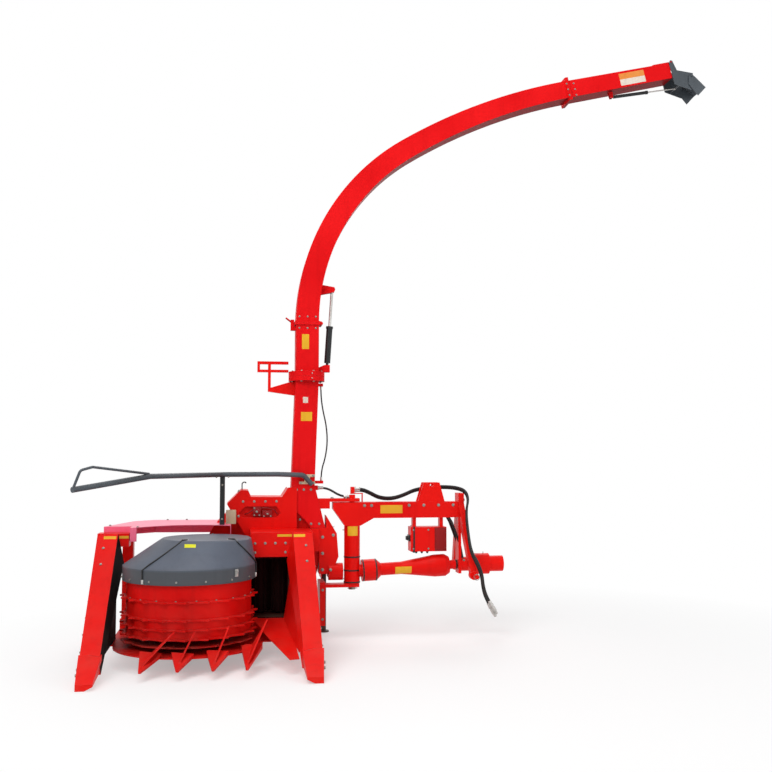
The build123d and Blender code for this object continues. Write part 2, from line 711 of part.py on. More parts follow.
def pole_core():
    """The lower pole's full outer volume, used to cut what seats on it."""
    low = Plane.XY.offset(POLE_FOOT_Z) * Pos(POLE_FOOT_X, POLE_Y) * Rectangle(POLE_W, POLE_W)
    high = Plane.XY.offset(RING_Z - RING_T) * Pos(POLE_X, POLE_Y) * Rectangle(POLE_W, POLE_W)
    return loft([low, high], ruled=True)


def lug_pair(points, pin, pin_r):
    """Two upright plates either side of an eye, with a bolt through both."""
    inner = EYE_HALF + LUG_GAP
    pair = side_plate(points, POLE_Y - inner - LUG_T, POLE_Y - inner)
    pair += side_plate(points, POLE_Y + inner, POLE_Y + inner + LUG_T)
    if pin_r:
        x, z = pin
        pair += rod((x, POLE_Y - inner - LUG_T - 4, z), (x, POLE_Y + inner + LUG_T + 4, z), pin_r)
    return pair


def upper_pole():
    """Turning pole from the slewing ring to the fold flange, with the hinge's lower knuckle."""
    low = RING_Z + RUNNING_GAP
    high = FOLD_Z
    half = POLE_W / 2
    pole = block(POLE_X - half, POLE_X + half, POLE_Y - half, POLE_Y + half, low, high)
    ring = Pos(POLE_X, POLE_Y, low + RING_T / 2) * Cylinder(RING_R, RING_T)
    flange = Pos(POLE_X, POLE_Y, high - FOLD_FLANGE_T / 2) * Box(FOLD_FLANGE_W, FOLD_FLANGE_W, FOLD_FLANGE_T)
    clear = POLE_W - 2 * DUCT_WALL
    bore = Pos(POLE_X, POLE_Y, (low + high) / 2) * Box(clear, clear, 2 * (high - low))
    knuckle = rod((FOLD_PIN_X, POLE_Y - 30, FOLD_Z), (FOLD_PIN_X, POLE_Y + 30, FOLD_Z), 10.0)
    web = block(FOLD_PIN_X - 18.0, FOLD_PIN_X, POLE_Y - 30, POLE_Y + 30, FOLD_Z - FOLD_FLANGE_T, FOLD_Z - 1.0)
    knuckle = knuckle + web
    x, z = FOLD_LOW_PIN
    ring_top = low + RING_T
    lugs = lug_pair([(POLE_X + half, ring_top), (x + 20, ring_top), (x + 20, z + 20), (x - 20, z + 20), (POLE_X + half, z)],
                    FOLD_LOW_PIN, FOLD_ROD_R - 1.0)
    return pole + ring + flange - bore + knuckle + lugs + fold_latch()


def fold_latch():
    """Hook with a handle that locks the arch's flange from the left."""
    x = POLE_X - POLE_W / 2
    edge = POLE_X - FOLD_FLANGE_W / 2
    hook = block(edge - 27.0, edge - 2.0, POLE_Y - 15.0, POLE_Y + 15.0, FOLD_Z - 48.0, FOLD_Z + 30.0)
    hook += block(edge - 27.0, x + 1.0, POLE_Y - 15.0, POLE_Y + 15.0, FOLD_Z - 48.0, FOLD_Z - 18.0)
    return hook + rod((edge - 20.0, POLE_Y, FOLD_Z + 12.0), (edge - 62.0, POLE_Y - 8.0, FOLD_Z + 42.0), 6.0)


def spout_segments():
    """The spout's runs as (length, turn in degrees): two bends of different radius and a straight end."""
    return (
        (math.radians(SPOUT_A1) * SPOUT_R1, SPOUT_A1),
        (math.radians(SPOUT_A2) * SPOUT_R2, SPOUT_A2),
        (math.radians(SPOUT_A3) * SPOUT_R2, SPOUT_A3),
        (SPOUT_END_RUN, 0.0),
    )


def spout_stations(segments):
    """Centre-line stations (x, z, heading, run) at each segment's start, middle and end."""
    x, z, heading, run = POLE_X, FOLD_Z, math.pi / 2, 0.0
    stations = [(x, z, heading, run)]
    for length, turn in segments:
        for _ in range(2):
            bend = math.radians(turn) / 2.0
            half = length / 2.0
            chord = half if bend == 0.0 else 2.0 * (half / bend) * math.sin(bend / 2.0)
            x += chord * math.cos(heading - bend / 2.0)
            z += chord * math.sin(heading - bend / 2.0)
            heading -= bend
            run += half
            stations.append((x, z, heading, run))
    return stations


def spout_width(run, total):
    """The spout's height in its own plane, which tapers towards its mouth."""
    return POLE_W + (SPOUT_END_W - POLE_W) * run / total


def spout_band(first, last, inset):
    """Side outline of the spout between two segments, inset from its skin, in the pole's plane."""
    stations = spout_stations(spout_segments())
    total = stations[-1][3]
    upper, lower = [], []
    for x, z, heading, run in stations:
        half = spout_width(run, total) / 2.0 - inset
        upper.append((x - math.sin(heading) * half, z + math.cos(heading) * half))
        lower.append((x + math.sin(heading) * half, z - math.cos(heading) * half))
    edges = []
    for side in (upper, lower):
        for i in range(first, last):
            a, b, c = side[2 * i], side[2 * i + 1], side[2 * i + 2]
            straight = spout_segments()[i][1] == 0.0
            edges.append(Line(a, c) if straight else ThreePointArc(a, b, c))
    edges.append(Line(upper[2 * first], lower[2 * first]))
    edges.append(Line(upper[2 * last], lower[2 * last]))
    return make_face(edges)


def spout_duct(first, last):
    """Hollow box duct between two segments."""
    depth = POLE_W
    place = Plane.XZ.offset(-POLE_Y)
    outer = extrude(place * spout_band(first, last, 0.0), amount=depth / 2, both=True)
    inner = extrude(place * spout_band(first, last, DUCT_WALL), amount=depth / 2 - DUCT_WALL, both=True)
    return outer - inner


def spout_arch():
    """Folding bend of the spout with its flanges, hinge knuckles and the cylinder's bracket."""
    flange = Pos(POLE_X, POLE_Y, FOLD_Z + FOLD_FLANGE_T / 2) * Box(FOLD_FLANGE_W, FOLD_FLANGE_W, FOLD_FLANGE_T)
    bore = Pos(POLE_X, POLE_Y, FOLD_Z + FOLD_FLANGE_T / 2) * Box(
        POLE_W - DUCT_WALL, POLE_W - DUCT_WALL, 2 * FOLD_FLANGE_T
    )
    solid = spout_duct(0, 3) + (flange - bore) + spout_collar(3, -12.0)
    for side in (-1, 1):
        y0, y1 = sorted((POLE_Y + side * 31.0, POLE_Y + side * 70.0))
        knuckle = rod((FOLD_PIN_X, y0, FOLD_Z), (FOLD_PIN_X, y1, FOLD_Z), 10.0)
        web = block(FOLD_PIN_X - 18.0, FOLD_PIN_X, y0, y1, FOLD_Z + 1.0, FOLD_Z + FOLD_FLANGE_T)
        solid += knuckle + web
    x, z = FOLD_HIGH_PIN
    outline = [(x - 84, z + 34), (x + 16, z + 18), (x + 22, z), (x + 14, z - 18), (x - 92, z - 40)]
    lugs = lug_pair(outline, FOLD_HIGH_PIN, 0.0)
    core = extrude(Plane.XZ.offset(-POLE_Y) * spout_band(0, 3, DUCT_WALL / 2), amount=POLE_W / 2, both=True)
    return solid + (lugs - core)


def spout_collar(index, thickness):
    """Flange round the spout at a segment's border, before it (negative thickness) or after it."""
    stations = spout_stations(spout_segments())
    x, z, heading, run = stations[2 * index]
    high = spout_width(run, stations[-1][3])
    plane = Plane(origin=(x, POLE_Y, z), x_dir=(0, 1, 0), z_dir=(math.cos(heading), 0, math.sin(heading)))
    ring = Rectangle(POLE_W + 30.0, high + 44.0) - Rectangle(POLE_W - DUCT_WALL, high - DUCT_WALL)
    return extrude(plane * ring, amount=thickness)


def spout_end():
    """Straight outer part of the spout, bolted to the arch, with the flap hinge's lugs."""
    half = SPOUT_END_W / 2
    solid = spout_duct(3, 4) + spout_collar(3, 12.0)
    pin_x, pin_y = flap_1_pin()
    high = half + MOUTH_LUG_H
    lug = [(-150, half - 1), (-12, half - 1), (pin_x + 2, pin_y - 8), (pin_x + 8, pin_y + 8), (pin_x - 8, high), (-120, high)]
    for y in (-MOUTH_LUG_Y, MOUTH_LUG_Y):
        solid += mouth_plate(lug, y - MOUTH_LUG_T / 2, y + MOUTH_LUG_T / 2)
    reach = POLE_W / 2 + FLAP_SIDE_GAP + 2 * FLAP_SHEET
    solid += mouth_rod(flap_1_pin(), -reach, reach, FLAP_PIN_R)
    back = -FLAP_CYLINDER_BACK
    drop = -half - FLAP_CYLINDER_DROP
    foot = [(back - 16, -half), (back + 18, -half), (back + 10, drop - 10), (back - 10, drop - 10)]
    for y in (-14.0, 8.0):
        solid += mouth_plate(foot, y, y + 6.0)
    return solid + mouth_rod((back, drop), -16.0, 16.0, 4.0)


def mouth():
    """The centre of the spout's mouth and its heading."""
    x, z, heading, _ = spout_stations(spout_segments())[-1]
    return x, z, heading


def mouth_plane(along, up, turn=0.0):
    """Plane at a place given along and above the mouth's centre; local x runs out, local y up."""
    x, z, heading = mouth()
    cos, sin = math.cos(heading), math.sin(heading)
    origin = (x + along * cos - up * sin, POLE_Y, z + along * sin + up * cos)
    final = heading - math.radians(turn)
    return Plane(origin=origin, x_dir=(math.cos(final), 0, math.sin(final)), z_dir=(0, -1, 0))


def mouth_plate(points, y0, y1):
    """Plate in the spout's own plane at the mouth, between two offsets across it."""
    face = mouth_plane(0.0, 0.0) * make_face(Polyline(*points, close=True))
    return Pos(0, y0, 0) * extrude(face, amount=-(y1 - y0))


def mouth_rod(place, y0, y1, radius):
    """Bar across the spout at a place near the mouth."""
    x, _, z = mouth_plane(*place).origin
    return rod((x, POLE_Y + y0, z), (x, POLE_Y + y1, z), radius)


def flap_1_pin():
    """Hinge of the first flap, along and above the mouth's centre."""
    return FLAP_PIN_AHEAD, SPOUT_END_W / 2 + FLAP_PIN_ABOVE


def flap_2_pin():
    """Hinge of the second flap, in the sides of the first at rest."""
    along, up = flap_1_pin()
    turn = math.radians(FLAP_1_TURN)
    dx, dy = FLAP_2_PIN
    return along + dx * math.cos(turn) + dy * math.sin(turn), up - dx * math.sin(turn) + dy * math.cos(turn)


def flap_eye():
    """Peg on the first flap that the small cylinder's rod pulls, along and above the mouth's centre."""
    return FLAP_EYE_AHEAD, -SPOUT_END_W / 2 - FLAP_EYE_DROP


def flap_channel(plane, outline, top, half_in):
    """Channel of sheet, open below and at both ends, from its side outline."""
    outer = extrude(plane * make_face(Polyline(*outline, close=True)), amount=half_in + FLAP_SHEET, both=True)
    space = [(-90, top - FLAP_SHEET), (400, top - FLAP_SHEET), (400, -400), (-90, -400)]
    return outer - extrude(plane * make_face(Polyline(*space, close=True)), amount=half_in, both=True)


def flap_1():
    """First flap: sides that hang from the pin's ends, a low top sheet on two arms, and its pins and peg."""
    half_in = POLE_W / 2 + FLAP_SIDE_GAP
    half_out = half_in + FLAP_SHEET
    plane = mouth_plane(*flap_1_pin(), FLAP_1_TURN)
    top, back = -FLAP_TOP_DROP, FLAP_TOP_BACK
    rear, front = FLAP_1_DEPTHS
    length = FLAP_1_LENGTH
    outline = [
        (-12, -10), (-8, 12), (10, 12), (back, top), (length, top), (length, top - front), (48, top - rear),
    ]
    body = flap_channel(plane, outline, top, half_in)
    above = [(-90, top - FLAP_SHEET), (back, top - FLAP_SHEET), (back, top), (400, top), (400, 60), (-90, 60)]
    body -= extrude(plane * make_face(Polyline(*above, close=True)), amount=half_in, both=True)
    collar = Circle(FLAP_TUBE_R) - Circle(FLAP_PIN_R + 0.3)
    seat = MOUTH_LUG_Y + MOUTH_LUG_T / 2 + 2.0
    body += extrude(plane * collar, amount=half_out, both=True) - extrude(plane * Circle(60), amount=seat, both=True)
    body += extrude(plane * collar, amount=FLAP_ARM_Y + 5.0, both=True)
    arm = make_face(Polyline((-9, -5), (-7, 10), (7, 10), (100, top - 1), (back, top - 1), close=True))
    arms = extrude(plane * arm, amount=FLAP_ARM_Y + 3.0, both=True)
    arms -= extrude(plane * arm, amount=FLAP_ARM_Y - 3.0, both=True)
    body += arms
    body -= extrude(plane * Circle(FLAP_PIN_R + 0.3), amount=half_out + 1.0, both=True)
    eye_x, _, eye_z = mouth_plane(*flap_eye()).origin
    pin_x, _, pin_z = mouth_plane(*flap_2_pin()).origin
    for side in (-1, 1):
        body += rod((eye_x, POLE_Y + side * 14.0, eye_z), (eye_x, POLE_Y + side * (half_in + 1), eye_z), 6.0)
        inner = (pin_x, POLE_Y + side * (half_in + 1), pin_z)
        outer = (pin_x, POLE_Y + side * (half_out + 16.0), pin_z)
        body += rod(inner, outer, FLAP_2_PIN_R)
    return body


def flap_2():
    """Outer flap, whose sides turn on the first flap's pins."""
    half_in = POLE_W / 2 + 2 * FLAP_SIDE_GAP + FLAP_SHEET
    plane = mouth_plane(*flap_2_pin(), FLAP_2_TURN)
    top = 16.0
    rear, front = FLAP_2_DEPTHS
    length = FLAP_2_LENGTH
    outline = [(-14, 12), (24, top), (length, top), (length, top - front), (30, top - rear), (-14, -16)]
    body = flap_channel(plane, outline, top, half_in)
    body -= extrude(plane * (Pos(-30, 20) * Rectangle(106, 30)), amount=half_in, both=True)
    return body - extrude(plane * Circle(FLAP_2_PIN_R + 0.3), amount=half_in + 20, both=True)


Barrel = namedtuple("Barrel", "length radius bore_start bore_r eye_r eye_half pin_r")
FOLD_CYLINDER = Barrel(FOLD_BARREL_LENGTH, FOLD_BARREL_R, 105.0, FOLD_ROD_R + 0.3, EYE_R, EYE_HALF, FOLD_ROD_R - 0.7)
FLAP_CYLINDER = Barrel(FLAP_BARREL_LENGTH, FLAP_BARREL_R, 60.0, FLAP_ROD_R + 0.3, 9.0, 7.0, 4.3)


def pole_plane_point(place):
    """Point in the pole's plane from an (x, z) pair."""
    return Vector(place[0], POLE_Y, place[1])


def eye(place, radius, half):
    """Round eye across the pole's plane."""
    return rod((place[0], POLE_Y - half, place[1]), (place[0], POLE_Y + half, place[1]), radius)


def cylinder_barrel(foot, head, kind):
    """Barrel with its neck, eye and gland; foot and head are the (x, z) of the two pins."""
    start = pole_plane_point(foot)
    unit = (pole_plane_point(head) - start).normalized()
    body = rod(start + unit * kind.eye_r * 2.1, start + unit * kind.length, kind.radius)
    body += rod(start + unit * kind.eye_r * 0.6, start + unit * kind.eye_r * 2.2, kind.eye_half * 0.9)
    body += rod(start + unit * (kind.length - 16), start + unit * kind.length, kind.radius * 1.15)
    body += eye(foot, kind.eye_r, kind.eye_half)
    body -= eye(foot, kind.pin_r, kind.eye_half + 40.0)
    return body - rod(start + unit * kind.bore_start, start + unit * (kind.length + 5), kind.bore_r)


def cylinder_rod(foot, head, start_at, kind, rod_r, hole_r):
    """Rod from inside the barrel to its eye."""
    start = pole_plane_point(foot)
    end = pole_plane_point(head)
    unit = (end - start).normalized()
    body = rod(start + unit * start_at, end - unit * kind.eye_r * 0.8, rod_r)
    body += eye(head, kind.eye_r, kind.eye_half)
    return body - eye(head, hole_r, kind.eye_half + 40.0)


def fold_barrel():
    """Barrel of the fold cylinder on the turning pole."""
    return cylinder_barrel(FOLD_LOW_PIN, FOLD_HIGH_PIN, FOLD_CYLINDER)


def fold_rod():
    """Rod of the fold cylinder, whose eye lies in the arch's clevis."""
    return cylinder_rod(FOLD_LOW_PIN, FOLD_HIGH_PIN, 250.0, FOLD_CYLINDER, FOLD_ROD_R, 6.0)


def flap_cylinder_pins():
    """The small cylinder's two pins as (x, z)."""
    foot = mouth_plane(-FLAP_CYLINDER_BACK, -SPOUT_END_W / 2 - FLAP_CYLINDER_DROP).origin
    head = mouth_plane(*flap_eye()).origin
    return (foot.X, foot.Z), (head.X, head.Z)


def flap_barrel():
    """Barrel of the flaps' cylinder under the spout."""
    return cylinder_barrel(*flap_cylinder_pins(), FLAP_CYLINDER)


def flap_rod():
    """Rod of the flaps' cylinder."""
    return cylinder_rod(*flap_cylinder_pins(), 160.0, FLAP_CYLINDER, FLAP_ROD_R, 5.0)


def hitch_post():
    """Swinging post below the beam with its solid foot."""
    top = BEAM_Z - BEAM_H / 2 - TEE_DROP
    tube_low = POST_FOOT_Z + POST_FOOT_H
    post = Pos(POST_X, POST_Y, (tube_low + top) / 2) * Cylinder(POST_R, top - tube_low)
    post -= Pos(POST_X, POST_Y, (tube_low + top) / 2) * Cylinder(POST_R - BEAM_WALL, top - tube_low)
    foot = Pos(POST_X, POST_Y, POST_FOOT_Z + POST_FOOT_H / 2) * Cylinder(POST_R, POST_FOOT_H)
    return post + foot - Pos(POST_X, POST_Y, POST_FOOT_Z) * Cylinder(PIVOT_R + 0.3, 120.0)


def hitch_beam():
    """Beam from the post to the headstock; its root widens into a tee over the post."""
    low, high = BEAM_Z - BEAM_H / 2, BEAM_Z + BEAM_H / 2
    tail, end = POST_X - BEAM_TAIL, HEAD_X - HEAD_T / 2
    tee = low - TEE_DROP
    points = [
        (tail, high), (tail, high - 46), (POST_X - POST_R, tee), (POST_X + POST_R, tee), (POST_X + 150, low), (end, low), (end, high),
    ]
    y0, y1 = POST_Y - BEAM_W / 2, POST_Y + BEAM_W / 2
    outer = side_plate(points, y0, y1)
    wall = BEAM_WALL
    hollow = block(POST_X + 150, end - wall, y0 + wall, y1 - wall, low + wall, high - wall)
    return outer - hollow - Pos(POST_X, POST_Y, high) * Cylinder(PIVOT_R + 0.3, 80.0) + hose_cap()


def hose_cap():
    """Strap that rises from the beam over the swing axis, with the block where the beam's hoses leave."""
    x, y, z = BEAM_HOSE[0]
    top = HOSE_CAP_Z + HOSE_CAP_T
    strap = block(POST_X + 69.0, POST_X + 75.0, POST_Y - 18.0, POST_Y + 18.0, BEAM_Z + BEAM_H / 2, top)
    plate = block(x - 27.0, POST_X + 75.0, POST_Y - 18.0, POST_Y + 18.0, HOSE_CAP_Z, top)
    return strap + plate + block(x - 27.0, x, y - 26.0, y + 12.0, top, z + 26.0)


def headstock_leg(side):
    """Box-section leg that narrows from the head down to its foot."""
    top = Vector(HEAD_X, POST_Y + side * LEG_TOP_Y, BEAM_Z + 40.0)
    foot = Vector(HEAD_X + LEG_FOOT_AHEAD, POST_Y + side * (LEG_FOOT_Y - 10.0), LOWER_PIN_Z)
    run = (foot - top).normalized()
    near = Plane(origin=top, x_dir=(1, 0, 0), z_dir=run) * Rectangle(LEG_T, LEG_TOP_W)
    far = Plane(origin=foot, x_dir=(1, 0, 0), z_dir=run) * Rectangle(LEG_T, LEG_LOW_W)
    return loft([near, far], ruled=True)


def headstock():
    """A-frame with the lower link pins."""
    half = HEAD_T / 2
    low, high = BEAM_Z - BEAM_H / 2, BEAM_Z + BEAM_H / 2 + HEAD_ABOVE
    head = block(HEAD_X - half, HEAD_X + half, POST_Y - 60.0, POST_Y + 60.0, low, high)
    foot_x = HEAD_X + LEG_FOOT_AHEAD
    for side in (-1, 1):
        foot = (foot_x, POST_Y + side * LEG_FOOT_Y, LOWER_PIN_Z)
        head += headstock_leg(side)
        inner = POST_Y + side * (LEG_FOOT_Y - LEG_FOOT_W)
        outer = POST_Y + side * (LEG_FOOT_Y + LEG_FOOT_W)
        head += rod((foot_x, inner, LOWER_PIN_Z), (foot_x, outer, LOWER_PIN_Z), LEG_FOOT_R)
        head += rod(foot, (foot_x, POST_Y + side * LOWER_PIN_SPAN / 2, LOWER_PIN_Z), LOWER_PIN_R)
    return head


def top_clevis():
    """Clevis for the tractor's top link."""
    pin_z = LOWER_PIN_Z + MAST_HEIGHT
    x = HEAD_X - TOP_PIN_BACK
    high = BEAM_Z + BEAM_H / 2
    points = [(x - 100, high), (x + 95, high), (x + 58, pin_z + 20), (x - 58, pin_z + 20)]
    ears = side_plate(points, POST_Y - 46.0, POST_Y - 30.0) + side_plate(points, POST_Y + 30.0, POST_Y + 46.0)
    return ears - rod((x, POST_Y - 100, pin_z), (x, POST_Y + 100, pin_z), TOP_PIN_R)


def side_case():
    """Gear case at the housing's tractor side with the bearing bell that points at the post."""
    x = CHOPPER_X + CHOPPER_R
    points = [(x, 450), (x + 88, 450), (x + 137, 569), (x + 124, 731), (x + 44, 865), (x, 865)]
    case = side_plate(points, 560.0, 700.0) - duct_core()
    case -= block(x - 1, x + 49.0, 550.0, CHOPPER_Y0 + CHOPPER_DEPTH, DUCT_FOOT_Z - 0.1, 900.0)
    return case + rod((x + 69.0, POST_Y, PTO_Z), (1030.0, POST_Y, PTO_Z), 60.0)


def swing_arm():
    """Arm under the swing post, carried by the frame's end."""
    x = CHOPPER_X + CHOPPER_R
    arm_top = POST_FOOT_Z - RUNNING_GAP
    arm = block(x, POST_X + 48.0, POST_Y - 48.0, POST_Y + 48.0, arm_top - ARM_T, arm_top)
    foot = block(x, x + 39.0, 480.0, 700.0, PAN_Z + PAN_T, 400.0)
    return arm + foot + Pos(POST_X, POST_Y, arm_top + 25.0) * Cylinder(PIVOT_R, 50.0)


def upper_arm():
    """Arm from the duct's foot to the pivot above the beam."""
    top = BEAM_Z + BEAM_H / 2 + 5.0
    arm = side_plate([(835, 905), (935, 905), (935, top + 22), (835, top + 22)], POST_Y - 45.0, POST_Y + 45.0)
    ear = block(935.0, POST_X + 50.0, POST_Y - 45.0, POST_Y + 45.0, top, top + 22.0)
    pin = Pos(POST_X, POST_Y, top - 10.0) * Cylinder(PIVOT_R, 40.0)
    swivel = block(ROOT_HOSE[-1][0], ROOT_HOSE[-1][0] + 40.0, POST_Y - 20.0, POST_Y + 20.0, top + 22.0, SWIVEL_TOP_Z)
    return arm + ear + pin + swivel - duct_core()


def duct_core():
    """The duct foot's full outer volume, used to cut what seats on it."""
    foot_place = Pos(DUCT_FOOT_X, POLE_Y + DUCT_FOOT_BACK)
    low = Plane.XY.offset(DUCT_FOOT_Z) * foot_place * Rectangle(DUCT_FOOT_W, DUCT_FOOT_D)
    high = Plane.XY.offset(POLE_FOOT_Z) * Pos(POLE_FOOT_X, POLE_Y) * Rectangle(POLE_W, POLE_W)
    return loft([low, high], ruled=True)


def driveline_point(x):
    """Point on the driveline's axis, which rises from the post to the headstock."""
    share = (x - POST_X) / (HEAD_X - POST_X)
    return Vector(x, POST_Y, PTO_Z + share * (PTO_HEAD_Z - PTO_Z))


def driveline_cone(x0, x1, r0, r1):
    """Round body on the driveline's axis between two places, with its two radii."""
    start, end = driveline_point(x0), driveline_point(x1)
    run = end - start
    near = Plane(origin=start, z_dir=run.normalized())
    if r0 == r1:
        return rod(start, end, r0)
    return near * Cone(r0, r1, run.length, align=(Align.CENTER, Align.CENTER, Align.MIN))


def pto_shaft():
    """Guarded driveline from the post's foot to the headstock."""
    start, end = POST_X + POST_R, HEAD_X - HEAD_T / 2 - 4.0
    body = driveline_cone(start - 10, end - 80, PTO_TUBE_R, PTO_TUBE_R)
    body += driveline_cone(start + 12, start + 115, PTO_BELL_R, PTO_BELL_R)
    body += driveline_cone(start + 115, start + 150, PTO_BELL_R, PTO_TUBE_R)
    body += driveline_cone(end - 404, end - 164, PTO_TUBE_R, PTO_BELL_R + 2)
    body += driveline_cone(end - 164, end - 89, PTO_BELL_R + 2, PTO_BELL_R + 2)
    body += driveline_cone(end - 89, end - 59, PTO_BELL_R + 2, PTO_BELL_R - 16)
    body += driveline_cone(end - 60, end, PTO_YOKE_R, PTO_YOKE_R)
    foot = Pos(POST_X, POST_Y, POST_FOOT_Z + POST_FOOT_H / 2) * Cylinder(POST_R, POST_FOOT_H)
    return body - foot


def pto_hanger():
    """Plate under the headstock with the input bearing and its stepped shield."""
    half = HEAD_T / 2
    low = BEAM_Z - BEAM_H / 2
    plate = block(HEAD_X - half, HEAD_X, POST_Y - 52.0, POST_Y + 52.0, PTO_HEAD_Z - 62.0, low)
    x0, x1, x2, x3 = HEAD_X - half, HEAD_X + 90.0, HEAD_X + 209.0, HEAD_X + 313.0

    def ring(a, b, radius):
        return rod((a, POST_Y, PTO_HEAD_Z), (b, POST_Y, PTO_HEAD_Z), radius)

    shell = ring(x0, x1, 50.0) + ring(x1 - 10.0, x2, 74.0) + ring(x2, x3, 56.0)
    shell -= ring(x1, x2 - SHIELD_WALL, 74.0 - SHIELD_WALL) + ring(x2 - SHIELD_WALL - 1.0, x3 + 1.0, 56.0 - SHIELD_WALL)
    plate -= headstock_leg(-1) + headstock_leg(1)
    return plate + shell - ring(x0 - 1.0, x1 + 1.0, PTO_SHOULDER_R + 0.3)


def pto_stub():
    """Input shaft inside the shield: a shoulder in the bearing and the bare end for the tractor's shaft."""
    start, seat = HEAD_X - HEAD_T / 2 + 1.0, HEAD_X + PTO_STUB_X0
    shoulder = rod((start, POST_Y, PTO_HEAD_Z), (seat, POST_Y, PTO_HEAD_Z), PTO_SHOULDER_R)
    return shoulder + rod((seat, POST_Y, PTO_HEAD_Z), (seat + PTO_STUB_L, POST_Y, PTO_HEAD_Z), PTO_STUB_R)


def valve_box():
    """Valve box hung under the beam by two straps."""
    half = VALVE_L / 2
    case = block(VALVE_X - half, VALVE_X + half, POST_Y - 60.0, POST_Y + 60.0, VALVE_Z0, VALVE_Z1)
    for x in (VALVE_X - 110.0, VALVE_X + 86.0):
        case += block(x, x + 24.0, POST_Y - 30.0, POST_Y + 30.0, VALVE_Z1, BEAM_Z - BEAM_H / 2)
    return case


def stand(place):
    """Round leg with a foot plate, folded down; its pivot lies just behind the leg."""
    x, y = place
    leg_y = y - 10.0
    leg = rod((x, leg_y, 0.0), (x, leg_y, STAND_PIVOT_Z + 30.0), STAND_R)
    leg += Pos(x, leg_y, 5.0) * Cylinder(STAND_FOOT_R, 10.0)
    return leg - rod((x - 40, y, STAND_PIVOT_Z), (x + 40, y, STAND_PIVOT_Z), STAND_PIN_R + 0.3)


def stand_bracket(place, root_y):
    """Two cheeks and a pin that hold a stand's head."""
    x, y = place
    cheeks = None
    for side in (-1, 1):
        x0, x1 = sorted((x + side * 24.0, x + side * 31.0))
        cheek = block(x0, x1, root_y, y + 22.0, STAND_PIVOT_Z - 30.0, STAND_PIVOT_Z + 34.0)
        cheeks = cheek if cheeks is None else cheeks + cheek
    return cheeks + rod((x - 34, y, STAND_PIVOT_Z), (x + 34, y, STAND_PIVOT_Z), STAND_PIN_R)


def corner_radii(points):
    """Radius for each corner of a hose's route: as wide as its shorter run allows."""
    radii = []
    for before, here, after in zip(points, points[1:], points[2:]):
        first, second = Vector(*here) - Vector(*before), Vector(*after) - Vector(*here)
        turn = math.radians(first.get_angle(second))
        radii.append(0.45 * min(first.length, second.length) / math.tan(turn / 2))
    return radii


def hose(points, radius):
    """Round hose along straight runs joined by tangent arcs; its radii are printed."""
    radii = corner_radii(points)
    print("hose of", len(points), "points, corner radii", [round(value) for value in radii])
    path = FilletPolyline(*points, radius=radii)
    return sweep(path.location_at(0) * Circle(radius).face(), path=path)


def beam_route(index):
    """Route of one of the beam's hoses: the second lies beside the first and spreads at its end."""
    spread = 5
    steps = [HOSE_STEP] * (len(BEAM_HOSE) - spread) + [HOSE_END_STEP] * spread
    return [tuple(a + index * b for a, b in zip(point, step)) for point, step in zip(BEAM_HOSE, steps)]


def beam_hose(index):
    """One of the two hoses from the swivel along the beam and down the front leg."""
    return hose(beam_route(index), HOSE_R)


def hose_coupler(index):
    """Steel coupler on the loose end of a beam hose, in line with its last run."""
    route = beam_route(index)
    end = Vector(*route[-1])
    unit = (end - Vector(*route[-2])).normalized()
    body = rod(end, end + unit * COUPLER_L, COUPLER_R - 3.0)
    return body + rod(end + unit * 12.0, end + unit * 44.0, COUPLER_R)


def guide_rail():
    """Bent tube ahead of the pole that pushes the stalks over, with its flat loop."""
    main = tube(
        [(806, 522, 1075), (745, 512, 1142), (560, 450, 1150), (190, 400, 1150), (-246, -100, 1150), (-645, -500, 1083)],
        17.0,
        40.0,
    )
    loop = tube([(-252, -104, 1166), (-537, -480, 1214), (-600, -510, 1195), (-640, -500, 1090)], 8.0, 25.0)
    return main + loop


def rail_post():
    """Round post that holds the rail over the deck."""
    return rod((190.0, 400.0, DECK_Z), (190.0, 400.0, 1133.0), 17.0)


def slew_bracket():
    """Bracket beside the slewing ring: two bars joined at their end on an arm from the pole."""
    y0, y1 = POLE_Y - 16.0, POLE_Y + 16.0
    root, knee = POLE_X - 60, POLE_X - SLEW_ARM
    tip, near = POLE_X - SLEW_REACH, POLE_X - 130
    arm = side_plate([(root, 1700), (root, 1803), (POLE_X - 109, 1803), (knee, 1752), (knee, 1730)], y0, y1)
    arm += block(knee, knee + 20, y0, y1, 1740.0, SLEW_BAR_Z)
    arm += block(tip, near, y0, y1, SLEW_BAR_Z, SLEW_BAR_Z + 20.0)
    arm += block(tip, near, y0, y1, 1868.0, 1886.0)
    return arm + block(tip, tip + 18, y0, y1, 1886.0, SLEW_BAR_Z) - pole_core()


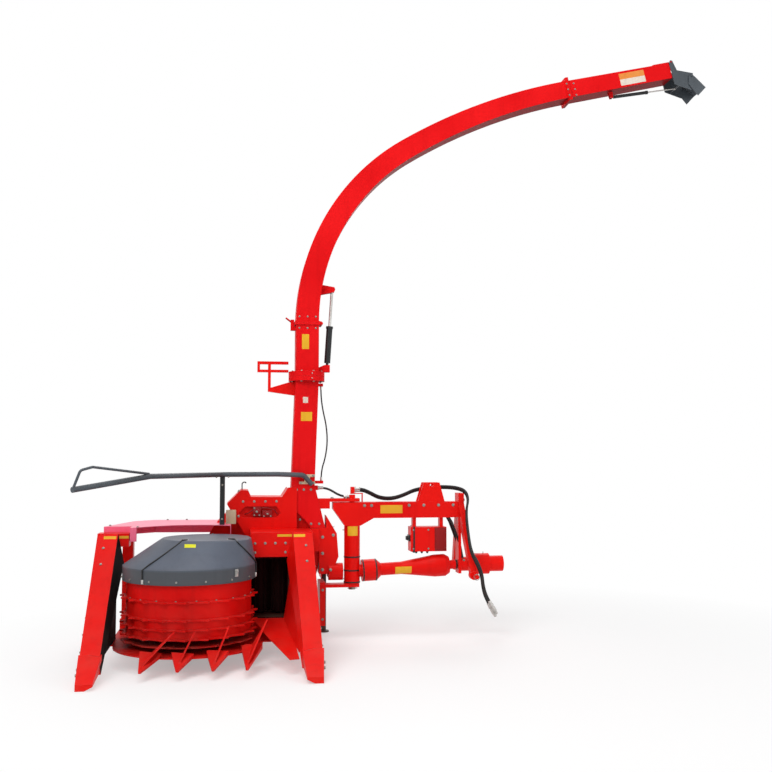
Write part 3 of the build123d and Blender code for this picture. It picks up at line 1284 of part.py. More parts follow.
PARTS = {
    "base_pan": base_pan,
    "rear_frame": rear_frame,
    "stalk_points": stalk_points,
    "spindle": spindle,
    "gathering_drum": gathering_drum,
    "knife_disc": knife_disc,
    "dome": dome,
    "divider_left": left_divider,
    "divider_right": lambda: divider(RIGHT_DIVIDER),
    "shoe_left": lambda: shoe(LEFT_DIVIDER),
    "shoe_right": lambda: shoe(RIGHT_DIVIDER),
    "side_sheet_left": left_side_sheet,
    "side_sheet_right": right_side_sheet,
    "inner_skirt": inner_skirt,
    "deck": deck,
    "chopper_housing": chopper_housing,
    "chopper_hood": chopper_hood,
    "flywheel": flywheel,
    "feed_channel": feed_channel,
    "feed_roller_left": lambda: feed_roller(ROLLER_XS[0]),
    "feed_roller_right": lambda: feed_roller(ROLLER_XS[1]),
    "cross_beam": cross_beam,
    "duct_foot": duct_foot,
    "pole_lower": lower_pole,
    "pole_upper": upper_pole,
    "spout_arch": spout_arch,
    "spout_end": spout_end,
    "flap_1": flap_1,
    "flap_2": flap_2,
    "fold_barrel": fold_barrel,
    "fold_rod": fold_rod,
    "flap_barrel": flap_barrel,
    "flap_rod": flap_rod,
    "slew_bracket": slew_bracket,
    "side_case": side_case,
    "swing_arm": swing_arm,
    "upper_arm": upper_arm,
    "hitch_post": hitch_post,
    "hitch_beam": hitch_beam,
    "headstock": headstock,
    "top_clevis": top_clevis,
    "valve_box": valve_box,
    "pto_hanger": pto_hanger,
    "pto_shaft": pto_shaft,
    "pto_stub": pto_stub,
    "stand_bracket_right": lambda: stand_bracket(RIGHT_STAND, 700.0),
    "stand_bracket_left": lambda: stand_bracket(LEFT_STAND, 780.0),
    "stand_right": lambda: stand(RIGHT_STAND),
    "stand_left": lambda: stand(LEFT_STAND),
    "beam_hose_a": lambda: beam_hose(0),
    "beam_hose_b": lambda: beam_hose(1),
    "hose_coupler_a": lambda: hose_coupler(0),
    "hose_coupler_b": lambda: hose_coupler(1),
    "root_hose": lambda: hose(ROOT_HOSE, HOSE_R),
    "pole_hose": lambda: hose(POLE_HOSE, THIN_HOSE_R),
    "guide_rail": guide_rail,
    "rail_post": rail_post,
}


def main():
    """Build every piece and write it."""
    os.makedirs("parts", exist_ok=True)
    for name, build in PARTS.items():
        export_step(Pos(-ORIGIN_X, -ORIGIN_Y, 0) * build(), f"parts/{name}.step")


if __name__ == "__main__":
    main()
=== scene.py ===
import logging
import math
from dataclasses import dataclass, field
from enum import Enum
from typing import Callable, Iterable, Sequence

import bmesh
import bpy
from mathutils import Matrix, Vector
from mathutils.bvhtree import BVHTree


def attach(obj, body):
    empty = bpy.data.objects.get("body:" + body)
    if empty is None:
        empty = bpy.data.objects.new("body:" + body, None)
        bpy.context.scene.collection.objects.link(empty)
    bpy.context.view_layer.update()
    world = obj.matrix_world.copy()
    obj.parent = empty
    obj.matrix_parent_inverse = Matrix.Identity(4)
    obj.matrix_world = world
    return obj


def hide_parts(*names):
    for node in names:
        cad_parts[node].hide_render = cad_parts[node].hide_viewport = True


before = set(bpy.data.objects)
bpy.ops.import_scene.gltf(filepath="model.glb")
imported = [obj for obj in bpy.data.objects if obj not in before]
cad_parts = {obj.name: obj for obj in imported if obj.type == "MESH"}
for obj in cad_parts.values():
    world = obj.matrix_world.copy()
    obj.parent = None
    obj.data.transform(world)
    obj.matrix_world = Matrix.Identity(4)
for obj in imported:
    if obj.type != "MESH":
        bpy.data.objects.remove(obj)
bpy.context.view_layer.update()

LOG = logging.getLogger("harvester")
MM = 0.001
ROTOR = Vector((1583.0, 136.0, 0.0))
POST_X, POST_Y = 1097.0, 600.0
POLE_X, POLE_Y, POLE_HALF = 770.0, 620.0, 81.0
HOUSING_X, HOUSING_Z = 461.0, 560.0
HOUSING_FRONT_Y, HOUSING_REAR_Y = 600.0, 810.0
FAR_OFF = 3000.0
EDGE_SAMPLES = 4
DUST_SHADE = (0.30, 0.22, 0.15)
STREAK_SHADE = 0.45
WORN_ROUGHER, DUST_ROUGHER = 0.15, 0.45
WORN_METAL = 0.6
BUMP_REACH = 0.01
FRONT, BACK, LEFT, RIGHT, UP, DOWN = (0, -1, 0), (0, 1, 0), (-1, 0, 0), (1, 0, 0), (0, 0, 1), (0, 0, -1)

Place = Sequence[float]
Triple = tuple[float, float, float]
Pairs = tuple[tuple[float, float], ...]
Blocks = tuple[tuple[Triple, Triple, float], ...]
Points = Sequence[Place]
Tree = bpy.types.NodeTree
Socket = bpy.types.NodeSocket


def at(x: float, y: float, z: float) -> Vector:
    """Place in metres from millimetres measured from the rotor's axis on the ground."""
    return (Vector((x, y, z)) - ROTOR) * MM


def add_object(name: str, data: bpy.types.ID) -> bpy.types.Object:
    """Make an object of some data and put it in the scene.

    Args:
        name: its name.
        data: its mesh, curve, camera or lamp.

    Returns:
        The object.
    """
    made = bpy.data.objects.new(name, data)
    bpy.context.scene.collection.objects.link(made)
    return made


class Slot(Enum):
    """The record's material slots."""

    RED = "red_paint"
    GREY = "grey_plastic"
    STEEL = "bare_steel"
    BLACK = "black_paint"
    IRON = "dark_iron"
    RUBBER = "black_rubber"


class Head(Enum):
    """Kinds of fastener head, by the number of sides."""

    HEX = 6
    DOME = 20


@dataclass
class Effects:
    """Shared shader node groups, each built once."""

    built: dict[str, Tree] = field(default_factory=dict)

    def start(
        self,
        name: str,
        inputs: dict[str, float | tuple],
        output: tuple[str, str] = ("Mask", "NodeSocketFloat"),
    ) -> tuple:
        """Open a node group.

        Args:
            name: the group's name.
            inputs: input names with their defaults; a tuple is a colour.
            output: the output's name and socket type.

        Returns:
            The tree, its input node and its output node.
        """
        tree = bpy.data.node_groups.new(name, "ShaderNodeTree")
        for label, value in inputs.items():
            kind = "NodeSocketColor" if isinstance(value, tuple) else "NodeSocketFloat"
            socket = tree.interface.new_socket(label, in_out="INPUT", socket_type=kind)
            socket.default_value = value
        tree.interface.new_socket(output[0], in_out="OUTPUT", socket_type=output[1])
        self.built[name] = tree
        return tree, tree.nodes.new("NodeGroupInput"), tree.nodes.new("NodeGroupOutput")

    @staticmethod
    def math(tree: Tree, how: str, *values: object, clamp: bool = False) -> Socket:
        """Add a maths node.

        Args:
            tree: the tree to add to.
            how: the operation.
            values: numbers or sockets, in order.
            clamp: keep the result between 0 and 1.

        Returns:
            The result's socket.
        """
        node = tree.nodes.new("ShaderNodeMath")
        node.operation = how
        node.use_clamp = clamp
        for i, value in enumerate(values):
            if isinstance(value, (int, float)):
                node.inputs[i].default_value = value
            else:
                tree.links.new(value, node.inputs[i])
        return node.outputs[0]

    @staticmethod
    def noise(tree: Tree, scale: object, stretch: Triple = (1, 1, 1), detail: float = 4.0) -> Socket:
        """Add noise on Object coordinates.

        Args:
            tree: the tree to add to.
            scale: a number or a socket.
            stretch: how much the pattern is squeezed along each axis.
            detail: the noise's detail.

        Returns:
            The noise's factor.
        """
        place = tree.nodes.new("ShaderNodeTexCoord")
        turn = tree.nodes.new("ShaderNodeMapping")
        turn.inputs["Scale"].default_value = stretch
        tex = tree.nodes.new("ShaderNodeTexNoise")
        tex.inputs["Detail"].default_value = detail
        tree.links.new(place.outputs["Object"], turn.inputs["Vector"])
        tree.links.new(turn.outputs["Vector"], tex.inputs["Vector"])
        if isinstance(scale, (int, float)):
            tex.inputs["Scale"].default_value = scale
        else:
            tree.links.new(scale, tex.inputs["Scale"])
        return tex.outputs["Fac"]

    @staticmethod
    def ramp(tree: Tree, value: Socket, low: float, high: float) -> Socket:
        """Stretch a value to the range from 0 to 1, clamped.

        Args:
            tree: the tree to add to.
            value: the value's socket.
            low: what becomes 0.
            high: what becomes 1.

        Returns:
            The result's socket.
        """
        node = tree.nodes.new("ShaderNodeMapRange")
        node.inputs["From Min"].default_value = low
        node.inputs["From Max"].default_value = high
        tree.links.new(value, node.inputs["Value"])
        return node.outputs["Result"]

    @staticmethod
    def upward(tree: Tree, kind: str, output: str) -> Socket:
        """Add a node and take the upward part of a vector it gives.

        Args:
            tree: the tree to add to.
            kind: the node's type.
            output: the output that holds the vector.

        Returns:
            The socket of the upward part.
        """
        source = tree.nodes.new(kind)
        split = tree.nodes.new("ShaderNodeSeparateXYZ")
        tree.links.new(source.outputs[output], split.inputs[0])
        return split.outputs["Z"]

    def give(self, tree: Tree, mask: Socket, src: bpy.types.Node, out: bpy.types.Node) -> Tree:
        """Scale a mask by the group's Amount and make it the group's result.

        Args:
            tree: the group's tree.
            mask: the mask at full strength.
            src: the group's input node.
            out: the group's output node.

        Returns:
            The tree.
        """
        scaled = self.math(tree, "MULTIPLY", mask, src.outputs["Amount"], clamp=True)
        tree.links.new(scaled, out.inputs["Mask"])
        return tree

    def mottle(self) -> Tree:
        """Soft patches between two shades.

        Returns:
            The group's tree.
        """
        inputs = {"Shade A": (1, 1, 1, 1), "Shade B": (0, 0, 0, 1), "Scale": 3.0}
        tree, src, out = self.start("mottle", inputs, ("Colour", "NodeSocketColor"))
        mix = tree.nodes.new("ShaderNodeMix")
        mix.data_type = "RGBA"
        patches = self.ramp(tree, self.noise(tree, src.outputs["Scale"]), 0.35, 0.7)
        tree.links.new(patches, mix.inputs["Factor"])
        tree.links.new(src.outputs["Shade A"], mix.inputs["A"])
        tree.links.new(src.outputs["Shade B"], mix.inputs["B"])
        tree.links.new(mix.outputs["Result"], out.inputs["Colour"])
        return tree

    def edge_wear(self) -> Tree:
        """Mask of rubbed edges, broken up by noise.

        Returns:
            The group's tree.
        """
        tree, src, out = self.start("edge_wear", {"Width": 0.004, "Amount": 0.5})
        bevel = tree.nodes.new("ShaderNodeBevel")
        bevel.samples = EDGE_SAMPLES
        tree.links.new(src.outputs["Width"], bevel.inputs["Radius"])
        shape = tree.nodes.new("ShaderNodeNewGeometry")
        dot = tree.nodes.new("ShaderNodeVectorMath")
        dot.operation = "DOT_PRODUCT"
        tree.links.new(bevel.outputs["Normal"], dot.inputs[0])
        tree.links.new(shape.outputs["True Normal"], dot.inputs[1])
        edge = self.ramp(tree, self.math(tree, "SUBTRACT", 1.0, dot.outputs["Value"]), 0.02, 0.22)
        broken = self.ramp(tree, self.noise(tree, 38.0), 0.42, 0.62)
        return self.give(tree, self.math(tree, "MULTIPLY", edge, broken), src, out)

    def dust(self) -> Tree:
        """Mask of field dust that lies on upward faces and thickens towards the ground.

        Returns:
            The group's tree.
        """
        tree, src, out = self.start("dust", {"Amount": 0.3, "Reach": 0.5})
        facing = self.upward(tree, "ShaderNodeNewGeometry", "Normal")
        up = self.math(tree, "MULTIPLY", self.ramp(tree, facing, 0.2, 1.0), 0.55)
        height = self.upward(tree, "ShaderNodeTexCoord", "Object")
        share = self.math(tree, "DIVIDE", height, src.outputs["Reach"], clamp=True)
        lying = self.math(tree, "ADD", up, self.math(tree, "SUBTRACT", 1.0, share), clamp=True)
        patches = self.ramp(tree, self.noise(tree, 9.0, detail=6.0), 0.3, 0.75)
        return self.give(tree, self.math(tree, "MULTIPLY", lying, patches), src, out)

    def below(self) -> Tree:
        """Mask of what lies under a height, where shade is painted in.

        Returns:
            The group's tree.
        """
        tree, src, out = self.start("below", {"Height": 0.6})
        height = self.upward(tree, "ShaderNodeTexCoord", "Object")
        depth = self.math(tree, "SUBTRACT", src.outputs["Height"], height)
        mask = self.math(tree, "MULTIPLY", self.ramp(tree, depth, -0.012, 0.012), 0.85)
        tree.links.new(mask, out.inputs["Mask"])
        return tree

    def underside(self) -> Tree:
        """Mask of faces which look down, where shade is painted in.

        Returns:
            The group's tree.
        """
        tree, src, out = self.start("underside", {"Amount": 0.8})
        facing = self.upward(tree, "ShaderNodeNewGeometry", "True Normal")
        down = self.ramp(tree, self.math(tree, "MULTIPLY", facing, -1.0), 0.25, 0.75)
        return self.give(tree, down, src, out)

    def streaks(self) -> Tree:
        """Mask of faint upright rain and dirt streaks.

        Returns:
            The group's tree.
        """
        tree, src, out = self.start("streaks", {"Scale": 26.0, "Amount": 0.2})
        lines = self.noise(tree, src.outputs["Scale"], stretch=(1, 1, 0.07), detail=3.0)
        return self.give(tree, self.ramp(tree, lines, 0.52, 0.72), src, out)

    def grain(self) -> Tree:
        """Height of a fine surface grain, with its scale.

        Returns:
            The group's tree.
        """
        tree, src, out = self.start("grain", {"Scale": 300.0, "Wave": 12.0}, ("Height", "NodeSocketFloat"))
        fine = self.noise(tree, src.outputs["Scale"], detail=2.0)
        wave = self.noise(tree, src.outputs["Wave"], detail=1.0)
        height = self.math(tree, "ADD", self.math(tree, "MULTIPLY", fine, 0.3), wave)
        tree.links.new(height, out.inputs["Height"])
        return tree

    def group(self, name: str) -> Tree:
        """The named group, built when it is first asked for."""
        return self.built[name] if name in self.built else getattr(self, name)()


EFFECTS = Effects()


@dataclass(frozen=True)
class Finish:
    """One surface finish and its values."""

    name: str
    shade_a: Triple
    shade_b: Triple
    rough: float = 0.35
    metal: float = 0.0
    spec: float = 0.3
    ior: float = 1.45
    under: Triple = (0.3, 0.29, 0.28)
    wear: float = 0.4
    wear_width: float = 0.003
    dust: float = 0.25
    dust_reach: float = 0.6
    streak: float = 0.12
    patch: float = 2.5
    grain: float = 220.0
    wave: float = 14.0
    bump: float = 0.04
    round_edge: float = 0.0025
    # Under the height low the colour is darkened as painted shade, towards the shade colour that follows.
    low: float = 0.0
    painted_low_shade: Triple = (0.0, 0.0, 0.0)
    # How far faces that look down are darkened as painted shade, and the colour of that shade.
    painted_under_shade: float = 0.0
    painted_under_colour: Triple = (0.10, 0.004, 0.006)

    def build(self) -> bpy.types.Material:
        """Make the material.

        Returns:
            The finished node material.
        """
        mat = bpy.data.materials.new(self.name)
        mat.use_nodes = True
        tree = mat.node_tree
        shader = tree.nodes["Principled BSDF"]

        def effect(name: str, **values: object) -> Socket:
            """Place a shared group with its values.

            Args:
                name: the group's name.
                values: its inputs' values, with _ in a name for a space.

            Returns:
                The socket of its one output.
            """
            node = tree.nodes.new("ShaderNodeGroup")
            node.node_tree = EFFECTS.group(name)
            for label, value in values.items():
                node.inputs[label.replace("_", " ")].default_value = value
            return node.outputs[0]

        def blend(colour: Socket, mask: Socket, other: tuple) -> Socket:
            """Lay another colour over one, by a mask.

            Args:
                colour: the colour beneath.
                mask: where the other colour lies.
                other: the other colour.

            Returns:
                The result's socket.
            """
            node = tree.nodes.new("ShaderNodeMix")
            node.data_type = "RGBA"
            tree.links.new(mask, node.inputs["Factor"])
            tree.links.new(colour, node.inputs["A"])
            node.inputs["B"].default_value = (*other, 1.0)
            return node.outputs["Result"]

        shades = {"Shade_A": (*self.shade_a, 1), "Shade_B": (*self.shade_b, 1)}
        colour = effect("mottle", Scale=self.patch, **shades)
        # Painted shade under a height.
        if self.low:
            colour = blend(colour, effect("below", Height=self.low), self.painted_low_shade)
        # Painted shade on faces that look down.
        if self.painted_under_shade:
            colour = blend(colour, effect("underside", Amount=self.painted_under_shade), self.painted_under_colour)
        worn = effect("edge_wear", Width=self.wear_width, Amount=self.wear)
        dusty = effect("dust", Amount=self.dust, Reach=self.dust_reach)
        runs = effect("streaks", Amount=self.streak)
        colour = blend(colour, runs, tuple(STREAK_SHADE * c for c in self.shade_b))
        colour = blend(colour, worn, self.under)
        colour = blend(colour, dusty, DUST_SHADE)
        tree.links.new(colour, shader.inputs["Base Color"])
        rough = Effects.math(tree, "ADD", Effects.math(tree, "MULTIPLY", worn, WORN_ROUGHER), self.rough)
        dull = Effects.math(tree, "MULTIPLY", dusty, DUST_ROUGHER)
        tree.links.new(Effects.math(tree, "ADD", dull, rough, clamp=True), shader.inputs["Roughness"])
        if self.metal:
            shader.inputs["Metallic"].default_value = self.metal
        else:
            tree.links.new(Effects.math(tree, "MULTIPLY", worn, WORN_METAL), shader.inputs["Metallic"])
        shader.inputs["Specular IOR Level"].default_value = self.spec
        shader.inputs["IOR"].default_value = self.ior
        bump = tree.nodes.new("ShaderNodeBump")
        bump.inputs["Strength"].default_value = self.bump
        bump.inputs["Distance"].default_value = BUMP_REACH
        tree.links.new(effect("grain", Scale=self.grain, Wave=self.wave), bump.inputs["Height"])
        soft = tree.nodes.new("ShaderNodeBevel")
        soft.samples = EDGE_SAMPLES
        soft.inputs["Radius"].default_value = self.round_edge
        tree.links.new(soft.outputs["Normal"], bump.inputs["Normal"])
        tree.links.new(bump.outputs["Normal"], shader.inputs["Normal"])
        return mat


MATT = {"spec": 0.4, "ior": 1.2}
FILM = {"dust": 0.05, "round_edge": 0.0004}
RED = Finish("red paint", (0.82, 0.0065, 0.0035), (0.72, 0.004, 0.003), rough=0.36, spec=0.5, ior=1.2,
             wear=0.25, dust=0.08, dust_reach=0.4)
# Red paint of the spout and pole, with painted shade on its faces that look down.
SPOUT_RED = Finish("sunned red paint", (0.80, 0.010, 0.012), (0.70, 0.006, 0.008), rough=0.42, spec=0.14,
                   ior=1.2, wear=0.2, dust=0.05, painted_under_shade=0.85)
DEEP_RED = Finish("red paint in the rotor", (0.74, 0.003, 0.002), (0.54, 0.002, 0.002), rough=0.45,
                  wear=0.35, dust=0.10, **MATT)
LOW_RED = Finish("scoured red paint", (0.60, 0.005, 0.004), (0.36, 0.003, 0.003), rough=0.5,
                 wear=0.6, dust=0.15, **MATT)
# The deck's pink is painted glare of the bright sky on its flat top, laid into the base colour.
GLARE_DECK_RED = Finish("red deck with painted sky glare", (0.94, 0.17, 0.30), (0.88, 0.13, 0.24), rough=0.30, spec=0.4,
                  wear=0.3, dust=0.06)
# Near-black red of the feed channel: painted shade inside the throat.
DARK_RED = Finish("red feed channel in painted shade", (0.06, 0.001, 0.001), (0.02, 0.001, 0.001), rough=0.7,
                  wear=0.4, dust=0.2, **MATT)
PURPLE = Finish("purple red paint", (0.16, 0.006, 0.030), (0.10, 0.004, 0.018), rough=0.4, wear=0.35)
# Near-black painted shade for the left divider's inner face, which lies in deep shadow.
SHADE_BLACK = Finish("black painted shade", (0.008, 0.008, 0.009), (0.004, 0.004, 0.005), rough=0.75,
               wear=0.2, dust=0.08, **MATT)
CRIMSON = Finish("deep crimson paint", (0.30, 0.006, 0.008), (0.21, 0.004, 0.005), rough=0.5, spec=0.25,
                 wear=0.35)
# The dome's upright rim, under 0.6 m, is darkened as painted shade.
GREY = Finish("blue grey plastic", (0.094, 0.112, 0.150), (0.072, 0.083, 0.110), rough=0.46, wear=0.15,
              under=(0.2, 0.2, 0.22), dust=0.12, grain=700.0, bump=0.08, round_edge=0.006, low=0.6,
              painted_low_shade=(0.062, 0.068, 0.074))
BLACK = Finish("black paint", (0.018, 0.020, 0.022), (0.010, 0.011, 0.012), rough=0.4, wear=0.5, dust=0.2)
# Near-black red of the feed rollers: painted shade deep in the throat.
ROLLER_SHADE = Finish("feed rollers in painted shade", (0.022, 0.003, 0.004), (0.010, 0.002, 0.002), rough=0.8,
              wear=0.1, dust=0.05, **MATT)
SLATE = Finish("slate paint on tubes", (0.085, 0.10, 0.115), (0.055, 0.065, 0.075), rough=0.38,
               wear=0.45, dust=0.2)
STEEL = Finish("worn bright steel", (0.56, 0.55, 0.53), (0.40, 0.38, 0.36), rough=0.34, metal=1.0, wear=0.2,
               under=(0.75, 0.74, 0.72), streak=0.3)
IRON = Finish("bare cast iron", (0.11, 0.105, 0.10), (0.06, 0.055, 0.05), rough=0.62, metal=0.8, bump=0.15)
LEG_IRON = Finish("dark leg tube", (0.035, 0.020, 0.018), (0.020, 0.012, 0.010), rough=0.5, dust=0.2)
ZINC = Finish("zinc plated bolts", (0.30, 0.29, 0.27), (0.22, 0.20, 0.17), rough=0.36, metal=1.0,
              wear=0.2, round_edge=0.0008)
HOSE = Finish("hose rubber", (0.016, 0.016, 0.017), (0.030, 0.030, 0.031), rough=0.55, wear=0.0, dust=0.12,
              grain=900.0, bump=0.12, round_edge=0.0005)
YELLOW = Finish("yellow reflector film", (0.80, 0.46, 0.02), (0.74, 0.34, 0.015), rough=0.28, wear=0.15,
                under=(0.6, 0.35, 0.2), **FILM)
LEMON = Finish("yellow blank label", (0.74, 0.74, 0.02), (0.68, 0.62, 0.02), rough=0.32, wear=0.1,
               under=(0.6, 0.55, 0.3), **FILM)
ORANGE = Finish("orange blank plate", (0.80, 0.24, 0.03), (0.74, 0.30, 0.08), rough=0.3, wear=0.1, **FILM)
WHITE = Finish("white blank film", (0.78, 0.70, 0.62), (0.70, 0.56, 0.46), rough=0.34, wear=0.1, **FILM)
CREAM = Finish("cream plastic", (0.62, 0.52, 0.36), (0.50, 0.40, 0.26), rough=0.5, wear=0.1)

MADE: dict[str, bpy.types.Material] = {}


def finish(which: Finish) -> bpy.types.Material:
    """The material of a finish, made once.

    Args:
        which: the finish.

    Returns:
        The material.
    """
    if which.name not in MADE:
        MADE[which.name] = which.build()
    return MADE[which.name]


SHARP_TURN = 0.6
SMOOTH_TURN = math.radians(35)
EDGE_SHARE = 0.3
WASHER_SINK = 0.6


@dataclass
class Part:
    """A mesh in the making: solids are added in millimetres and end as one object."""

    mesh: bmesh.types.BMesh = field(default_factory=bmesh.new)

    def rounded(self, verts: Iterable[bmesh.types.BMVert], radius: float) -> None:
        """Bevel the sharp edges among some vertices.

        Args:
            verts: the vertices.
            radius: the bevel's width, in millimetres.
        """
        if radius <= 0:
            return
        chosen = set(verts)
        within = [e for e in self.mesh.edges if chosen.issuperset(e.verts)]
        edges = [e for e in within if e.calc_face_angle(0.0) > SHARP_TURN]
        bmesh.ops.bevel(self.mesh, geom=edges, offset=radius, segments=2, profile=0.5, affect="EDGES",
                        material=-1)

    def block(self, low: Place, high: Place, radius: float = 1.5) -> "Part":
        """Add a box between two corners with rounded edges.

        Args:
            low: the lowest corner, in millimetres.
            high: the highest corner.
            radius: the edges' radius.

        Returns:
            This part.
        """
        size = Vector(high) - Vector(low)
        made = bmesh.ops.create_cube(self.mesh, size=1.0)
        bmesh.ops.scale(self.mesh, vec=size, verts=made["verts"])
        bmesh.ops.translate(self.mesh, vec=(Vector(low) + Vector(high)) / 2, verts=made["verts"])
        self.rounded(made["verts"], min(radius, EDGE_SHARE * min(size)))
        return self

    def blocks(self, blocks: Blocks) -> "Part":
        """Add several boxes, each from its two corners and its edges' radius.

        Args:
            blocks: the boxes.

        Returns:
            This part.
        """
        for low, high, radius in blocks:
            self.block(low, high, radius)
        return self

    def round(
        self,
        start: Place,
        end: Place,
        r0: float,
        r1: float | None = None,
        sides: int = 24,
        radius: float = 0.8,
    ) -> "Part":
        """Add a rod or cone between two points.

        Args:
            start: the first end's centre, in millimetres.
            end: the other end's centre.
            r0: the radius at the start.
            r1: the radius at the end, if it differs.
            sides: how many sides it has.
            radius: the end edges' radius.

        Returns:
            This part.
        """
        a, b = Vector(start), Vector(end)
        run = b - a
        turn = run.to_track_quat("Z", "Y").to_matrix().to_4x4()
        r1 = r0 if r1 is None else r1
        made = bmesh.ops.create_cone(
            self.mesh, cap_ends=True, segments=sides, radius1=r0, radius2=r1, depth=run.length,
            matrix=Matrix.Translation((a + b) / 2) @ turn,
        )
        self.rounded(made["verts"], radius)
        return self

    def plate(self, outline: Points, push: Place, radius: float = 0.0) -> "Part":
        """Add a flat plate from an outline.

        Args:
            outline: the corners in order, in millimetres.
            push: the thickness as a vector.
            radius: the edges' radius.

        Returns:
            This part.
        """
        verts = [self.mesh.verts.new(p) for p in outline]
        face = self.mesh.faces.new(verts)
        grown = bmesh.ops.extrude_face_region(self.mesh, geom=[face])
        far = [g for g in grown["geom"] if isinstance(g, bmesh.types.BMVert)]
        bmesh.ops.translate(self.mesh, vec=Vector(push), verts=far)
        self.rounded(verts + far, radius)
        return self

    def turned(self, outline: Points, centre: Place, axis: Place, steps: int = 48) -> "Part":
        """Add a shape of revolution.

        Args:
            outline: the profile's points, in millimetres.
            centre: a point of the axis.
            axis: the axis' direction.
            steps: how many steps the full turn has.

        Returns:
            This part.
        """
        verts = [self.mesh.verts.new(p) for p in outline]
        edges = [self.mesh.edges.new((verts[i], verts[i + 1])) for i in range(len(verts) - 1)]
        bmesh.ops.spin(
            self.mesh, geom=verts + edges, cent=centre, axis=axis,
            angle=2 * math.pi, steps=steps, use_merge=True,
        )
        return self

    def pipe(self, points: Points, radius: float, sides: int = 14) -> "Part":
        """Add a bent rod through some points, mitred at the corners.

        Args:
            points: the points in order, in millimetres.
            radius: the rod's radius.
            sides: how many sides it has.

        Returns:
            This part.
        """
        places = [Vector(p) for p in points]
        for a, b in zip(places, places[1:]):
            self.round(a, b, radius, sides=sides, radius=0.0)
        for p in places[1:-1]:
            bmesh.ops.create_icosphere(self.mesh, subdivisions=2, radius=radius, matrix=Matrix.Translation(p))
        return self

    def film(
        self, look_up: Callable[[float, float], tuple | None], steps: int, thick: float, sink: float = 0.3
    ) -> "Part":
        """Add a film that follows a surface.

        Args:
            look_up: gives the surface's point, in millimetres, and its normal for two shares from 0 to 1.
            steps: how many steps the film has each way.
            thick: how far its face stands off the surface.
            sink: how far its underside lies below the surface.

        Returns:
            This part.
        """
        made = bmesh.ops.create_grid(self.mesh, x_segments=steps, y_segments=steps, size=0.5)
        hits = {v: look_up(v.co.x + 0.5, v.co.y + 0.5) for v in made["verts"]}
        if any(hit is None for hit in hits.values()):
            bmesh.ops.delete(self.mesh, geom=made["verts"], context="VERTS")
            return self
        for v, (place, normal) in hits.items():
            v.co = place - normal * sink
        faces = list(dict.fromkeys(f for v in made["verts"] for f in v.link_faces))
        grown = bmesh.ops.extrude_face_region(self.mesh, geom=faces)
        for v in (g for g in grown["geom"] if isinstance(g, bmesh.types.BMVert)):
            place, normal = min(hits.values(), key=lambda hit: (hit[0] - hit[1] * sink - v.co).length)
            v.co = place + normal * thick
        return self

    def bolt(self, place: Place, out: Place, size: float = 8.0, head: Head = Head.HEX) -> "Part":
        """Add a bolt head on its washer.

        Args:
            place: the point on the surface, in millimetres.
            out: the direction away from the surface.
            size: the thread's size; the head and washer follow from it.
            head: the kind of head.

        Returns:
            This part.
        """
        a, n = Vector(place), Vector(out).normalized()
        self.round(a - n * WASHER_SINK, a + n * size * 0.2, size * 1.1, sides=18, radius=0.0)
        low, high = a + n * size * 0.15, a + n * size * 0.85
        return self.round(low, high, size * 0.9, sides=head.value, radius=size * 0.08)

    def bolts(self, places: Points, out: Place, size: float) -> "Part":
        """Add several bolt heads that face the same way.

        Args:
            places: the points on the surface, in millimetres.
            out: the direction away from the surface.
            size: the thread's size.

        Returns:
            This part.
        """
        for place in places:
            self.bolt(place, out, size)
        return self

    def nipple(self, place: Place, out: Place) -> "Part":
        """Add a grease nipple.

        Args:
            place: the point on the surface, in millimetres.
            out: the direction away from the surface.

        Returns:
            This part.
        """
        a, n = Vector(place), Vector(out).normalized()
        self.round(a - n, a + n * 4.0, 5.0, sides=6, radius=0.3)
        self.round(a + n * 3.6, a + n * 10.0, 3.0, 2.2, sides=14, radius=0.2)
        tip = Matrix.Translation(a + n * 11.0)
        bmesh.ops.create_icosphere(self.mesh, subdivisions=2, radius=2.8, matrix=tip)
        return self

    def done(self, name: str, body: str, look: Finish, slot: Slot) -> bpy.types.Object:
        """Turn the mesh into an object on a body.

        Args:
            name: the piece's name.
            body: the CAD body it rides on.
            look: its finish.
            slot: the record's slot the finish belongs to; not used.

        Returns:
            The object.
        """
        bmesh.ops.recalc_face_normals(self.mesh, faces=self.mesh.faces)
        for v in self.mesh.verts:
            v.co = at(*v.co)
        data = bpy.data.meshes.new(name)
        self.mesh.to_mesh(data)
        self.mesh.free()
        data.shade_smooth()
        data.set_sharp_from_angle(angle=SMOOTH_TURN)
        piece = add_object(name, data)
        data.materials.append(finish(look))
        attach(piece, body)
        LOG.info("made %s on %s", name, body)
        return piece


def between(start: Place, end: Place, count: int) -> list[Vector]:
    """Evenly spaced points from one point to another, both included; a single one is the first."""
    return [Vector(start).lerp(Vector(end), i / max(count - 1, 1)) for i in range(count)]


def circle_points(
    centre: Place, radius: float, count: int, axis: str = "Z", start: float = 0.0
) -> list[Vector]:
    """Points on a circle.

    Args:
        centre: its centre, in millimetres.
        radius: its radius.
        count: how many points.
        axis: the letter of the axis it goes round.
        start: the first point's angle, in degrees.

    Returns:
        The points.
    """
    points = []
    for i in range(count):
        a = math.radians(start + 360.0 * i / count)
        u, v = radius * math.cos(a), radius * math.sin(a)
        shift = {"X": (0, u, v), "Y": (u, 0, v), "Z": (u, v, 0)}[axis]
        points.append(Vector(centre) + Vector(shift))
    return points


